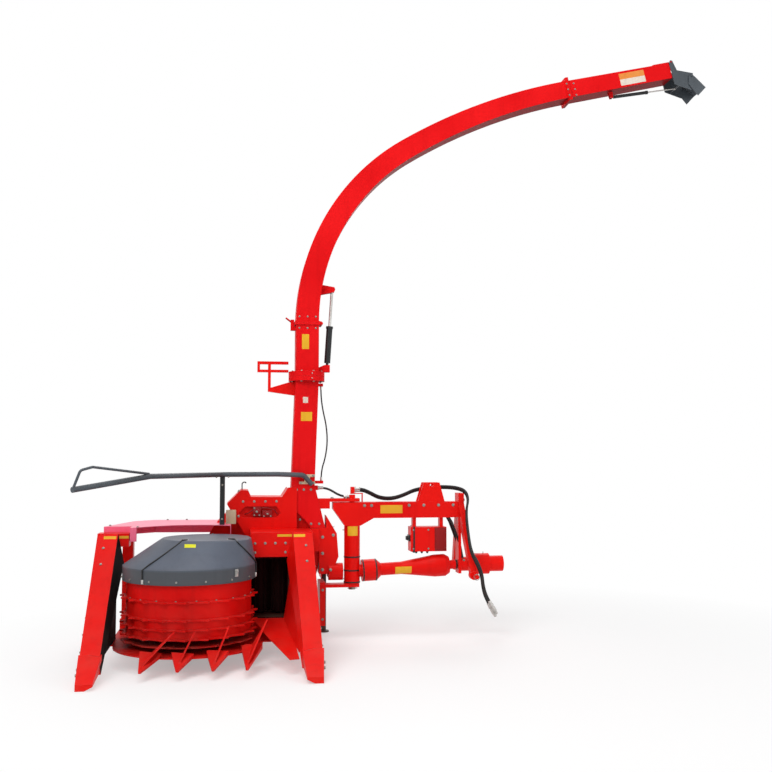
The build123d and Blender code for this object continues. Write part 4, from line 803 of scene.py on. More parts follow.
@dataclass(frozen=True)
class Studio:
    """Camera at the photograph's angle, pale floor and soft lights."""

    eye: Triple = (310.0, -6300.0, 1290.0)
    lens: float = 45.23
    sensor: float = 36.0
    sight: float = 100.0
    tilt: float = 94.0
    turn: float = -8.5
    floor_size: float = 40.0
    floor_drop: float = 0.001
    floor_shade: Triple = (0.93, 0.93, 0.93)
    floor_glow: float = 0.35
    glow_from: float = 1.6
    glow_full: float = 4.5
    sky: float = 0.42
    lamps: tuple[tuple[str, Triple, Triple, float, float], ...] = (
        ("key", (-5.0, -7.0, 7.5), (0.0, 0.0, 1.2), 5.0, 430.0),
        ("fill", (6.5, -6.0, 4.0), (0.3, 0.0, 1.5), 5.0, 135.0),
        ("top", (-1.5, -1.5, 8.5), (0.0, 0.3, 0.5), 4.0, 190.0),
        ("back", (1.0, 7.0, 6.5), (0.0, 0.0, 1.5), 5.0, 200.0),
    )

    def camera(self) -> None:
        """Make the camera."""
        data = bpy.data.cameras.new("camera")
        data.lens = self.lens
        data.sensor_width = self.sensor
        data.clip_end = self.sight
        camera = add_object("camera", data)
        camera.location = at(*self.eye)
        camera.rotation_euler = (math.radians(self.tilt), 0.0, math.radians(self.turn))
        bpy.context.scene.camera = camera

    def floor_look(self) -> bpy.types.Material:
        """Make the floor's material, which glows as the background does away from the machine.

        Returns:
            The material.
        """
        mat = bpy.data.materials.new("pale floor")
        mat.use_nodes = True
        tree = mat.node_tree
        shader = tree.nodes["Principled BSDF"]
        shader.inputs["Base Color"].default_value = (*self.floor_shade, 1)
        shader.inputs["Roughness"].default_value = 0.9
        shader.inputs["Specular IOR Level"].default_value = 0.1
        place = tree.nodes.new("ShaderNodeTexCoord")
        away = tree.nodes.new("ShaderNodeVectorMath")
        away.operation = "LENGTH"
        tree.links.new(place.outputs["Object"], away.inputs[0])
        far = Effects.ramp(tree, away.outputs["Value"], self.glow_from, self.glow_full)
        far = Effects.math(tree, "ADD", far, self.floor_glow, clamp=True)
        glow = tree.nodes.new("ShaderNodeEmission")
        blend = tree.nodes.new("ShaderNodeMixShader")
        tree.links.new(Effects.math(tree, "MULTIPLY", far, self.background_rays(tree)), blend.inputs["Fac"])
        tree.links.new(shader.outputs["BSDF"], blend.inputs[1])
        tree.links.new(glow.outputs["Emission"], blend.inputs[2])
        tree.links.new(blend.outputs["Shader"], tree.nodes["Material Output"].inputs["Surface"])
        return mat

    def floor(self) -> None:
        mesh = bmesh.new()
        bmesh.ops.create_grid(mesh, x_segments=1, y_segments=1, size=self.floor_size)
        data = bpy.data.meshes.new("floor")
        mesh.to_mesh(data)
        mesh.free()
        floor = add_object("floor", data)
        floor.location = (0.0, 0.0, -self.floor_drop)
        data.materials.append(self.floor_look())

    @staticmethod
    def background_rays(tree: Tree) -> Socket:
        """Find the rays that look at the background, straight or through metal and glass.

        Args:
            tree: the tree to add to.

        Returns:
            A socket that is 1 for those rays.
        """
        path = tree.nodes.new("ShaderNodeLightPath")
        seen = Effects.math(tree, "MAXIMUM", path.outputs["Is Camera Ray"], path.outputs["Is Glossy Ray"])
        return Effects.math(tree, "MAXIMUM", seen, path.outputs["Is Transmission Ray"])

    @staticmethod
    def lamp(name: str, place: Triple, aim: Triple, size: float, watts: float) -> None:
        """Make one soft area lamp.

        Args:
            name: its name.
            place: where it hangs, in metres.
            aim: the point it faces.
            size: its side.
            watts: its power.
        """
        data = bpy.data.lights.new(name, "AREA")
        data.energy = watts
        data.size = size
        lamp = add_object(name, data)
        lamp.location = place
        lamp.rotation_euler = (Vector(aim) - Vector(place)).to_track_quat("-Z", "Y").to_euler()

    def light(self) -> None:
        """Make the lamps and the world, which is white where the camera and reflections see it."""
        for lamp in self.lamps:
            self.lamp(*lamp)
        world = bpy.data.worlds.new("studio")
        world.use_nodes = True
        bpy.context.scene.world = world
        tree = world.node_tree
        back = tree.nodes["Background"]
        back.inputs["Color"].default_value = (1.0, 1.0, 1.0, 1.0)
        seen = Effects.math(tree, "MULTIPLY", self.background_rays(tree), 1.0 - self.sky)
        tree.links.new(Effects.math(tree, "ADD", seen, self.sky), back.inputs["Strength"])
        bpy.context.scene.view_settings.view_transform = "Standard"

    def build(self) -> None:
        """Make all of it."""
        self.camera()
        self.floor()
        self.light()


@dataclass
class Surface:
    """Finds places on the CAD solids, so that every piece sits on what carries it."""

    trees: dict[str, BVHTree] = field(default_factory=dict)

    def tree(self, node: str) -> BVHTree:
        """The search tree of a CAD node's mesh, built when it is first asked for.

        Args:
            node: the CAD node.

        Returns:
            The search tree.
        """
        if node not in self.trees:
            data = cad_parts[node].data
            faces = [p.vertices[:] for p in data.polygons]
            self.trees[node] = BVHTree.FromPolygons([v.co for v in data.vertices], faces)
        return self.trees[node]

    def seat(self, node: str, place: Place, side: Place, back: float = FAR_OFF) -> tuple | None:
        """Look at a node from one side and find its surface.

        Args:
            node: the CAD node.
            place: a point on the line of sight, in millimetres.
            side: the direction from the surface towards the eye.
            back: how far off the place the line of sight starts, in millimetres.

        Returns:
            The point on the surface, in millimetres, and the surface's normal, or None if it misses.
        """
        out = Vector(side).normalized()
        spot, normal, _, _ = self.tree(node).ray_cast(at(*(Vector(place) + out * back)), -out)
        if spot is None:
            LOG.warning("nothing of %s at %s", node, tuple(place))
            return None
        return spot / MM + ROTOR, normal if normal.dot(out) > 0 else -normal


SURFACE = Surface()


SLEEVE = ((0.0, 1.6, 1.75, 6, 0.3), (1.5, 4.6, 1.4, 20, 0.5), (4.4, 5.0, 1.25, 20, 0.3))


@dataclass(frozen=True)
class Hose:
    """One hydraulic hose: the points of its route, its size and length, its far end and the pieces with it.
    """

    name: str
    tube: str
    body: str
    route: Points
    diameter: float
    length: float
    far_end: str
    pieces: tuple[str, ...] = ()
    smoothness: int = 10
    roundness: int = 5

    def ends(self) -> bpy.types.Object:
        """Make the crimped sleeves at the hose's ends, each with its nut at the port.

        Returns:
            The sleeves' object.
        """
        part = Part()
        r = self.diameter / 2
        places = [Vector(p) for p in self.route]
        for a, b in ((places[0], places[1]), (places[-1], places[-2])):
            way = (b - a).normalized() * r
            for start, end, wide, sides, edge in SLEEVE:
                part.round(a + way * start, a + way * end, wide * r, sides=sides, radius=edge)
        return part.done(self.name + "_ends", self.body, STEEL, Slot.STEEL)

    def build(self) -> None:
        """Make the hose as one smooth curve in place of its CAD tube."""
        data = bpy.data.curves.new(self.name, "CURVE")
        data.dimensions = "3D"
        data.resolution_u = self.smoothness
        data.bevel_depth = self.diameter / 2 * MM
        data.bevel_resolution = self.roundness
        data.use_fill_caps = True
        spline = data.splines.new("NURBS")
        spline.points.add(len(self.route) - 1)
        for point, place in zip(spline.points, self.route):
            point.co = (*at(*place), 1.0)
        spline.order_u = 3
        spline.use_endpoint_u = True
        piece = add_object(self.name, data)
        data.materials.append(finish(HOSE))
        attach(piece, self.body)
        tuple(at(*self.route[0]))
        [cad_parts[n] for n in self.pieces] + [self.ends()]
        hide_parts(self.tube)


BEAM_HOSE = (
    (1112, 600, 1030), (1165, 600, 1030), (1220, 612, 1008), (1295, 634, 968), (1390, 655, 960),
    (1480, 672, 985), (1560, 682, 1022), (1680, 686, 1040), (1790, 670, 1042), (1862, 628, 1036),
    (1912, 570, 1016), (1925, 520, 960), (1898, 487, 875), (1893, 410, 735), (1898, 338, 600),
    (1932, 300, 525), (1960, 290, 445), (1968, 292, 362), (1992, 297, 288), (2028, 300, 228),
)
HOSE_STEP = Vector((0, -14, 14))
HOSE_END_STEP = Vector((0, -30, 22))
HOSE_END_POINTS = 5
ROOT_HOSE = (
    (852, 610, 1050), (900, 610, 1050), (948, 608, 1032),
    (988, 604, 1006), (1034, 600, 988), (1077, 600, 988),
)
POLE_HOSE = (
    (872, 605, 1770), (872, 605, 1700), (886, 604, 1600), (912, 602, 1490),
    (920, 600, 1370), (905, 600, 1260), (876, 600, 1170), (876, 600, 1100),
)


@dataclass(frozen=True)
class Hoses:
    """The hydraulic hoses: two along the beam, one at the pivot and one down the pole."""

    beam: tuple[float, float] = (16.0, 1.756)
    root: tuple[float, float] = (16.0, 0.2385)
    pole: tuple[float, float] = (10.0, 0.678)

    def build(self) -> None:
        """Make the four hoses."""
        split = len(BEAM_HOSE) - HOSE_END_POINTS
        second = [Vector(p) + (HOSE_STEP if i < split else HOSE_END_STEP) for i, p in enumerate(BEAM_HOSE)]
        for hose in (
            Hose("hose_beam_front", "beam_hose_a", "hitch", BEAM_HOSE, *self.beam, "fitting",
                 ("hose_coupler_a",)),
            Hose("hose_beam_rear", "beam_hose_b", "hitch", second, *self.beam, "fitting",
                 ("hose_coupler_b",)),
            Hose("hose_root", "root_hose", "frame", ROOT_HOSE, *self.root, "object"),
            Hose("hose_pole", "pole_hose", "frame", POLE_HOSE, *self.pole, "object"),
        ):
            hose.build()


@dataclass
class CadFinishes:
    """Finishes of the CAD nodes that stay as they are."""

    plan: dict[Finish, tuple[str, ...]] = field(default_factory=lambda: {
        DEEP_RED: ("gathering_drum", "base_pan", "stalk_points", "spindle"),
        SPOUT_RED: ("spout_arch", "spout_end", "pole_lower", "pole_upper", "duct_foot"),
        GLARE_DECK_RED: ("deck",),
        LOW_RED: ("knife_disc",),
        DARK_RED: ("feed_channel",),
        GREY: ("dome",),
        SLATE: ("guide_rail", "flap_1", "flap_2"),
        ROLLER_SHADE: ("feed_roller_left", "feed_roller_right"),
        # The left side sheet is near-black as painted shade.
        SHADE_BLACK: ("side_sheet_left",),
        BLACK: ("fold_barrel", "flap_barrel", "rail_post"),
        STEEL: ("pto_stub", "fold_rod", "flap_rod", "hose_coupler_a", "hose_coupler_b"),
        IRON: ("flywheel",),
        LEG_IRON: ("stand_left", "stand_right"),
    })

    def build(self) -> None:
        """Give every CAD node its finish; the rest is red."""
        look = {node: which for which, nodes in self.plan.items() for node in nodes}
        for name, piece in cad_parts.items():
            mat = finish(look.get(name, RED))
            for slot in piece.material_slots:
                slot.material = mat
            if not piece.material_slots:
                piece.data.materials.append(mat)
            LOG.info("finished %s", name)


def rectangle(x0: float, x1: float, z0: float, z1: float) -> tuple[Triple, ...]:
    """Corners of an upright rectangle as it is seen from the front."""
    return (x0, 0, z0), (x1, 0, z0), (x1, 0, z1), (x0, 0, z1)


@dataclass(frozen=True)
class Film:
    """A blank film laid on a CAD surface: its corners as they are seen from the front."""

    name: str
    body: str
    node: str
    corners: tuple[Triple, ...]
    look: Finish
    steps: int = 8
    thick: float = 0.8

    def build(self) -> None:
        """Lay the film, following the surface's curve."""
        part = Part()
        a, b, c, d = (Vector(p) for p in self.corners)

        def look_up(u: float, v: float) -> tuple | None:
            """The surface under a share of the film's width and height."""
            return SURFACE.seat(self.node, a.lerp(d, v).lerp(b.lerp(c, v), u), FRONT)

        part.film(look_up, self.steps, self.thick)
        part.done(self.name, self.body, self.look, Slot.RED)


@dataclass(frozen=True)
class Labels:
    """Blank films and plates, without words."""

    fine: int = 14
    spout_upper: tuple[Triple, ...] = ((3127, 0, 4121), (3325, 0, 4168), (3314, 0, 4212), (3116, 0, 4165))
    spout_lower: tuple[Triple, ...] = ((3138, 0, 4075), (3336, 0, 4122), (3325, 0, 4168), (3127, 0, 4121))
    driveline: tuple[Triple, ...] = ((1402, 0, 440), (1517, 0, 445), (1517, 0, 494), (1402, 0, 490))

    def build(self) -> None:
        """Lay all the films that the photograph shows."""
        for film in (
            Film("film_pole_upper", "chute", "pole_upper", rectangle(731, 781, 2030, 2136), YELLOW),
            Film("film_pole_lower", "frame", "pole_lower", rectangle(727, 805, 1521, 1584), YELLOW),
            Film("plate_pole_lower", "frame", "pole_lower", rectangle(740, 776, 1648, 1690), WHITE),
            Film("film_spout_upper", "spout", "spout_end", self.spout_upper, ORANGE),
            Film("film_spout_lower", "spout", "spout_end", self.spout_lower, WHITE),
            Film("film_post", "hitch", "hitch_post", rectangle(1062, 1132, 714, 780), YELLOW, self.fine),
            Film("film_beam", "hitch", "hitch_beam", rectangle(1294, 1452, 869, 927), YELLOW),
            Film("film_driveline", "hitch", "pto_shaft", self.driveline, YELLOW, self.fine),
            Film("strip_left_arm", "frame", "divider_left", rectangle(-556, -477, 743, 759), YELLOW),
            Film("strip_left_cap", "frame", "divider_left", rectangle(-461, -402, 743, 759), YELLOW),
            Film("strip_right_beam", "frame", "cross_beam", rectangle(556, 652, 742, 758), YELLOW),
            Film("strip_right_arm", "frame", "divider_right", rectangle(662, 738, 742, 758), YELLOW),
            Film("label_dome", "frame", "dome", rectangle(-22, 46, 722, 740), LEMON),
        ):
            film.build()


@dataclass(frozen=True)
class BoltRow:
    """A straight row of bolts on a CAD surface, as it is seen from one side."""

    node: str
    side: Triple
    start: Triple
    end: Triple
    count: int
    size: float = 8.0
    head: Head = Head.HEX
    back: float = FAR_OFF

    def add(self, part: Part) -> None:
        """Add the row to a part.

        Args:
            part: the part that takes the bolts.
        """
        for spot in between(self.start, self.end, self.count):
            hit = SURFACE.seat(self.node, spot, self.side, self.back)
            if hit:
                part.bolt(hit[0], hit[1], self.size, self.head)


BOLT_ROWS: dict[str, tuple[BoltRow, ...]] = {
    "frame": (
        BoltRow("deck", UP, (-540, 250, 0), (-160, 250, 0), 5),
        BoltRow("deck", UP, (-545, 290, 0), (-545, 900, 0), 6),
        BoltRow("deck", UP, (-480, 930, 0), (200, 930, 0), 6),
        BoltRow("deck", UP, (225, 480, 0), (225, 900, 0), 4),
        BoltRow("divider_left", LEFT, (0, 150, 640), (0, -480, 160), 7, 6.0, Head.DOME),
        BoltRow("divider_right", RIGHT, (0, 150, 640), (0, -480, 160), 7, 6.0, Head.DOME),
        BoltRow("divider_left", FRONT, (-548, 0, 690), (-548, 0, 600), 2, 8.0, Head.DOME),
        BoltRow("divider_right", FRONT, (740, 0, 690), (740, 0, 600), 2, 8.0, Head.DOME),
        BoltRow("shoe_left", LEFT, (0, -540, 75), (0, -620, 60), 2, 10.0),
        BoltRow("shoe_right", RIGHT, (0, -540, 75), (0, -620, 60), 2, 10.0),
        BoltRow("cross_beam", FRONT, (410, 0, 700), (610, 0, 700), 4),
        BoltRow("cross_beam", FRONT, (410, 0, 640), (610, 0, 640), 2),
        BoltRow("chopper_hood", FRONT, (300, 0, 740), (300, 0, 860), 2),
        BoltRow("chopper_hood", FRONT, (330, 0, 960), (560, 0, 960), 4),
        BoltRow("chopper_hood", UP, (300, 580, 0), (300, 780, 0), 3),
        BoltRow("duct_foot", FRONT, (700, 0, 1040), (800, 0, 1040), 3),
        BoltRow("duct_foot", BACK, (700, 0, 1040), (800, 0, 1040), 3),
        BoltRow("duct_foot", FRONT, (690, 0, 800), (860, 0, 800), 4),
        BoltRow("side_case", FRONT, (885, 0, 820), (885, 0, 480), 4, 10.0),
        BoltRow("side_case", FRONT, (960, 0, 720), (940, 0, 480), 2, 10.0),
        BoltRow("rear_frame", BACK, (-440, 0, 700), (0, 0, 700), 5, 10.0),
        BoltRow("rear_frame", BACK, (-440, 0, 150), (800, 0, 150), 7, 10.0),
        BoltRow("upper_arm", UP, (955, 570, 0), (1050, 570, 0), 2, 10.0),
        BoltRow("upper_arm", UP, (955, 630, 0), (1050, 630, 0), 2, 10.0),
        BoltRow("swing_arm", FRONT, (880, 0, 150), (880, 0, 350), 2, 8.0),
        BoltRow("base_pan", DOWN, (-440, -100, 0), (-440, 300, 0), 4, 10.0, Head.DOME),
        BoltRow("base_pan", DOWN, (-400, 520, 0), (600, 520, 0), 8, 10.0, Head.DOME),
        BoltRow("side_sheet_right", LEFT, (620, -250, 520), (620, 150, 520), 3, 6.0, Head.DOME, 200.0),
        BoltRow("guide_rail", FRONT, (150, 0, 1135), (230, 0, 1135), 2, 6.0, Head.DOME),
        BoltRow("rail_post", FRONT, (190, 0, 850), (190, 0, 1080), 2, 6.0, Head.DOME),
        BoltRow("stand_bracket_left", FRONT, (-440, 0, 450), (-440, 0, 450), 1, 10.0),
        BoltRow("stand_bracket_right", FRONT, (918, 0, 450), (918, 0, 450), 1, 10.0),
    ),
    "hitch": (
        BoltRow("hitch_beam", FRONT, (1180, 0, 925), (1230, 0, 925), 2, 10.0),
        BoltRow("hitch_beam", FRONT, (1500, 0, 925), (1820, 0, 925), 4, 10.0),
        BoltRow("hitch_beam", BACK, (1500, 0, 925), (1820, 0, 925), 4, 10.0),
        BoltRow("headstock", RIGHT, (0, 570, 960), (0, 630, 960), 2, 12.0),
        BoltRow("headstock", RIGHT, (0, 570, 880), (0, 630, 880), 2, 12.0),
        BoltRow("valve_box", FRONT, (1530, 0, 750), (1745, 0, 750), 3, 6.0, Head.DOME),
        BoltRow("valve_box", FRONT, (1530, 0, 618), (1745, 0, 618), 3, 6.0, Head.DOME),
        BoltRow("pto_hanger", UP, (1900, 560, 0), (1900, 640, 0), 2, 8.0),
    ),
    "chute": (
        BoltRow("pole_upper", FRONT, (712, 0, 2180), (828, 0, 2180), 3, 6.0),
        BoltRow("pole_upper", BACK, (712, 0, 2180), (828, 0, 2180), 3, 6.0),
    ),
    "spout": (
        BoltRow("spout_arch", FRONT, (712, 0, 2262), (828, 0, 2262), 3, 6.0),
        BoltRow("spout_arch", FRONT, (2700, 0, 4060), (2722, 0, 3975), 3, 6.0),
        BoltRow("spout_arch", BACK, (2700, 0, 4060), (2722, 0, 3975), 3, 6.0),
        BoltRow("spout_end", FRONT, (2760, 0, 4072), (2781, 0, 3985), 3, 6.0),
        BoltRow("spout_end", BACK, (2760, 0, 4072), (2781, 0, 3985), 3, 6.0),
    ),
}


@dataclass(frozen=True)
class BoltRing:
    """A ring of bolts on a CAD surface, as it is seen from one side."""

    name: str
    node: str
    body: str
    side: Triple
    centre: Triple
    radius: float
    count: int
    axis: str
    start: float = 0.0
    size: float = 8.0
    back: float = FAR_OFF
    reach: float = 30.0

    def build(self) -> None:
        """Make the ring, leaving out the places where the surface has ended."""
        part = Part()
        side = Vector(self.side)
        for spot in circle_points(self.centre, self.radius, self.count, self.axis, self.start):
            hit = SURFACE.seat(self.node, spot, self.side, self.back)
            if hit and hit[1].dot(side) > 0.9 and abs((hit[0] - spot).dot(side)) < self.reach:
                part.bolt(hit[0], hit[1], self.size)
        part.done(self.name, self.body, ZINC, Slot.STEEL)


HOUSING_FACE = (HOUSING_X, HOUSING_FRONT_Y, HOUSING_Z)
HOUSING_BACK = (HOUSING_X, HOUSING_REAR_Y, HOUSING_Z)
BOLT_RINGS = (
    BoltRing("bolts_housing_front", "chopper_housing", "frame", FRONT, HOUSING_FACE, 378.0, 20, "Y", 9.0),
    BoltRing("bolts_housing_rear", "chopper_housing", "frame", BACK, HOUSING_BACK, 360.0, 16, "Y", 11.0),
    BoltRing("bolts_ring_upper", "pole_upper", "chute", UP, (POLE_X, POLE_Y, 1872), 111.0, 8, "Z", 22.5,
             back=12.0),
    BoltRing("bolts_ring_lower", "pole_lower", "frame", DOWN, (POLE_X, POLE_Y, 1804), 111.0, 8, "Z", 22.5,
             back=12.0),
    BoltRing("bolts_drum", "gathering_drum", "drum", UP, (0, 0, 407), 385.0, 20, "Z", 9.0, 6.0, 60.0),
    BoltRing("bolts_knives", "knife_disc", "knives", DOWN, (0, 0, 130), 340.0, 16, "Z", 11.0, 8.0, 30.0),
)
GREASE_POINTS: tuple[tuple[str, str, Triple, Triple], ...] = (
    ("hitch", "hitch_post", (0, 600, 410), LEFT),
    ("hitch", "hitch_post", (0, 600, 752), LEFT),
    ("hitch", "pto_hanger", (2050, 600, 0), UP),
    ("frame", "side_case", (960, 600, 0), UP),
    ("frame", "stand_bracket_right", (918, 0, 412), FRONT),
    ("frame", "stand_bracket_left", (-440, 0, 412), FRONT),
    ("chute", "pole_upper", (800, 0, 1855), FRONT),
    ("frame", "pole_lower", (800, 0, 1821), FRONT),
)


@dataclass
class Fasteners:
    """Bolt heads and grease nipples of each sub-assembly."""

    def build(self) -> None:
        """Set the bolts, one piece for each body, and the rings."""
        for body, rows in BOLT_ROWS.items():
            part = Part()
            for row in rows:
                row.add(part)
            part.done(f"bolts_{body}", body, ZINC, Slot.STEEL)
        for body in dict.fromkeys(row[0] for row in GREASE_POINTS):
            part = Part()
            for _, node, place, side in (row for row in GREASE_POINTS if row[0] == body):
                hit = SURFACE.seat(node, place, side)
                if hit:
                    part.nipple(*hit)
            part.done(f"nipples_{body}", body, STEEL, Slot.STEEL)
        for ring in BOLT_RINGS:
            ring.build()


@dataclass(frozen=True)
class Dome:
    """Straps, latch and rim screws of the plastic dome."""

    rim_r: float = 412.0
    rim_top: float = 601.0
    rim_low: float = 513.0
    crown: Triple = (98.0, 55.0, 745.0)
    crown_r: float = 285.0
    top: float = 757.0
    strap_r: float = 5.0
    straps: tuple[tuple[str, float, float], ...] = (
        ("strap_left", -129.0, -121.0),
        ("strap_right", -6.0, -48.0),
    )
    strap_stops: tuple[float, ...] = (0.12, 0.35, 0.6, 0.85, 0.97)
    latch_angle: float = -45.0
    latch_leaves: tuple[tuple[float, float, float, float], ...] = ((548, 592, 1.8, 4.0), (554, 586, 1.1, 9.0))
    screw_angles: range = range(-170, 190, 24)

    def rim(self, angle: float, z: float, off: float) -> Vector:
        """Point beside the dome's upright rim.

        Args:
            angle: the angle round the rotor's axis, in degrees.
            z: its height.
            off: how far it stands off the plastic.

        Returns:
            The point, in millimetres.
        """
        a = math.radians(angle)
        return Vector(((self.rim_r + off) * math.cos(a), (self.rim_r + off) * math.sin(a), z))

    def rim_spot(self, angle: float, z: float) -> tuple[Vector, Vector]:
        """Point on the dome's upright rim and its normal."""
        place = self.rim(angle, z, 0.0)
        return place, Vector((place.x, place.y, 0.0)).normalized()

    def skin(self, angle: float, share: float, off: float) -> Vector:
        """Point beside the dome's slope.

        Args:
            angle: the angle round the rotor's axis, in degrees.
            share: how far up the slope it lies, from 0 at the rim to 1 at the crown.
            off: how far it stands off the plastic.

        Returns:
            The point, in millimetres.
        """
        turn = Vector((math.cos(math.radians(angle)), math.sin(math.radians(angle)), 0.0))
        low = turn * self.rim_r + Vector((0, 0, self.rim_top))
        high = Vector(self.crown) + turn * self.crown_r
        across = Vector((-turn.y, turn.x, 0.0))
        return low.lerp(high, share) + across.cross(high - low).normalized() * off

    def strap(self, name: str, foot: float, head: float) -> None:
        """Make a rubber strap from under the rim up to the crown, with its steel hook.

        Args:
            name: the piece's name.
            foot: the angle of its lower end, in degrees.
            head: the angle where it reaches the crown.
        """
        off = self.strap_r - 0.8
        path = [self.rim(foot, self.rim_low + 8, off), self.rim(foot, self.rim_top - 2, off)]
        path += [self.skin(foot + (head - foot) * s, s, off) for s in self.strap_stops]
        crown = Vector(self.crown)
        for share, drop in ((0.93, 0.0), (0.74, 3.5)):
            inner = crown + (self.skin(head, 1.0, 0.0) - crown) * share
            path.append(Vector((inner.x, inner.y, self.top + off - drop)))
        Part().pipe(path, self.strap_r, 12).done(name, "frame", BLACK, Slot.BLACK)
        hook = Part()
        a = self.rim(foot, self.rim_low + 4, 1.0)
        hook.round(a, a + Vector((0, 0, 26)), 8.5, sides=16)
        hook.round(path[-1] - Vector((0, 0, 4)), path[-1] + Vector((0, 0, 1.4)), 8.0, sides=16)
        hook.done(name + "_ends", "frame", STEEL, Slot.STEEL)

    def build(self) -> None:
        """Make the dome's fittings."""
        for strap in self.straps:
            self.strap(*strap)
        latch = Part()
        for low, high, half, off in self.latch_leaves:

            def leaf(u: float, v: float) -> tuple[Vector, Vector]:
                """The leaf's point and normal for two shares from 0 to 1."""
                return self.rim_spot(self.latch_angle + half * (2 * u - 1), low + (high - low) * v)

            latch.film(leaf, 4, off)
        foot, tip = self.rim(self.latch_angle, 560, 8.0), self.rim(self.latch_angle, 585, 16.0)
        latch.round(foot, tip, 3.0, sides=12)
        latch.done("dome_latch", "frame", STEEL, Slot.STEEL)
        screws = Part()
        for angle in self.screw_angles:
            a = self.rim(angle, self.rim_low + 20, 0.0)
            screws.bolt(a, (a.x, a.y, 0), 6.0, Head.DOME)
        screws.done("dome_screws", "frame", ZINC, Slot.STEEL)


@dataclass(frozen=True)
class Hood:
    """What fills the chopper hood's window and stands on its front and top."""

    gear: Blocks = (((398, 524, 856), (452, 553, 924), 3.0), ((462, 528, 850), (530, 556, 898), 3.0))
    gear_caps: tuple[tuple[float, float, float, float], ...] = ((424, 890, 20.0, 9.0), (498, 874, 15.0, 8.0))
    gear_y: float = 516.0
    gear_bolts: Points = ((408, 525, 866), (408, 525, 914), (442, 525, 866), (474, 529, 858), (520, 529, 858))
    gear_pipe: Points = ((452, 534, 912), (490, 530, 916), (548, 536, 900), (566, 545, 872))
    gear_link: Points = ((340, 548, 872), (366, 534, 880), (400, 534, 905))
    hook: Points = ((322, 620, 1030), (322, 620, 1082), (331, 620, 1091), (343, 620, 1092), (351, 620, 1084))
    clamp: Blocks = (
        ((716, 528, 1078), (828, 541, 1096), 2.0),
        ((716, 528, 1128), (828, 541, 1146), 2.0),
        ((752, 518, 1090), (792, 541, 1134), 3.0),
    )
    bracket: Blocks = (((214, 498, 811), (283, 520, 905), 4.0), ((214, 470, 811), (283, 502, 817), 2.0))

    def build(self) -> None:
        """Make the window's gear, the hook, the brackets and the clamp."""
        gear = Part().blocks(self.gear)
        for x, z, r, _ in self.gear_caps:
            gear.round((x, self.gear_y, z), (x, self.gear_y + 24, z), r, sides=28)
        gear.pipe(self.gear_pipe, 5.0)
        gear.pipe(self.gear_link, 4.0)
        gear.done("hood_gear", "frame", CRIMSON, Slot.RED)
        caps = Part()
        for x, z, _, r in self.gear_caps:
            caps.round((x, self.gear_y - 6, z), (x, self.gear_y + 2, z), r, sides=6)
        caps.bolts([(x, y - 0.6, z) for x, y, z in self.gear_bolts], FRONT, 5.0)
        caps.done("hood_gear_caps", "frame", ZINC, Slot.STEEL)
        Part().pipe(self.hook, 4.0).done("hood_hook", "frame", BLACK, Slot.BLACK)
        Part().blocks(self.clamp).done("pole_clamp", "frame", CREAM, Slot.GREY)
        screws = Part().bolts([(x, 528.4, z) for x in (728, 816) for z in (1087, 1137)], FRONT, 7.0)
        screws.done("pole_clamp_screws", "frame", ZINC, Slot.STEEL)
        Part().blocks(self.bracket).done("deck_bracket", "frame", CREAM, Slot.GREY)


@dataclass(frozen=True)
class LeftShadeSheet:
    """Black sheet of painted shade on the left divider's inner face."""

    sheet: Points = ((-469, 214, 772), (-429, 214, 587), (-458, -558, 50), (-468, -558, 110))
    thick: Triple = (1.4, 0.0, 0.4)

    def build(self) -> None:
        """Make the black sheet of painted shade on the left divider's inner face."""
        Part().plate(self.sheet, self.thick).done("shade_sheet_left", "frame", SHADE_BLACK, Slot.BLACK)


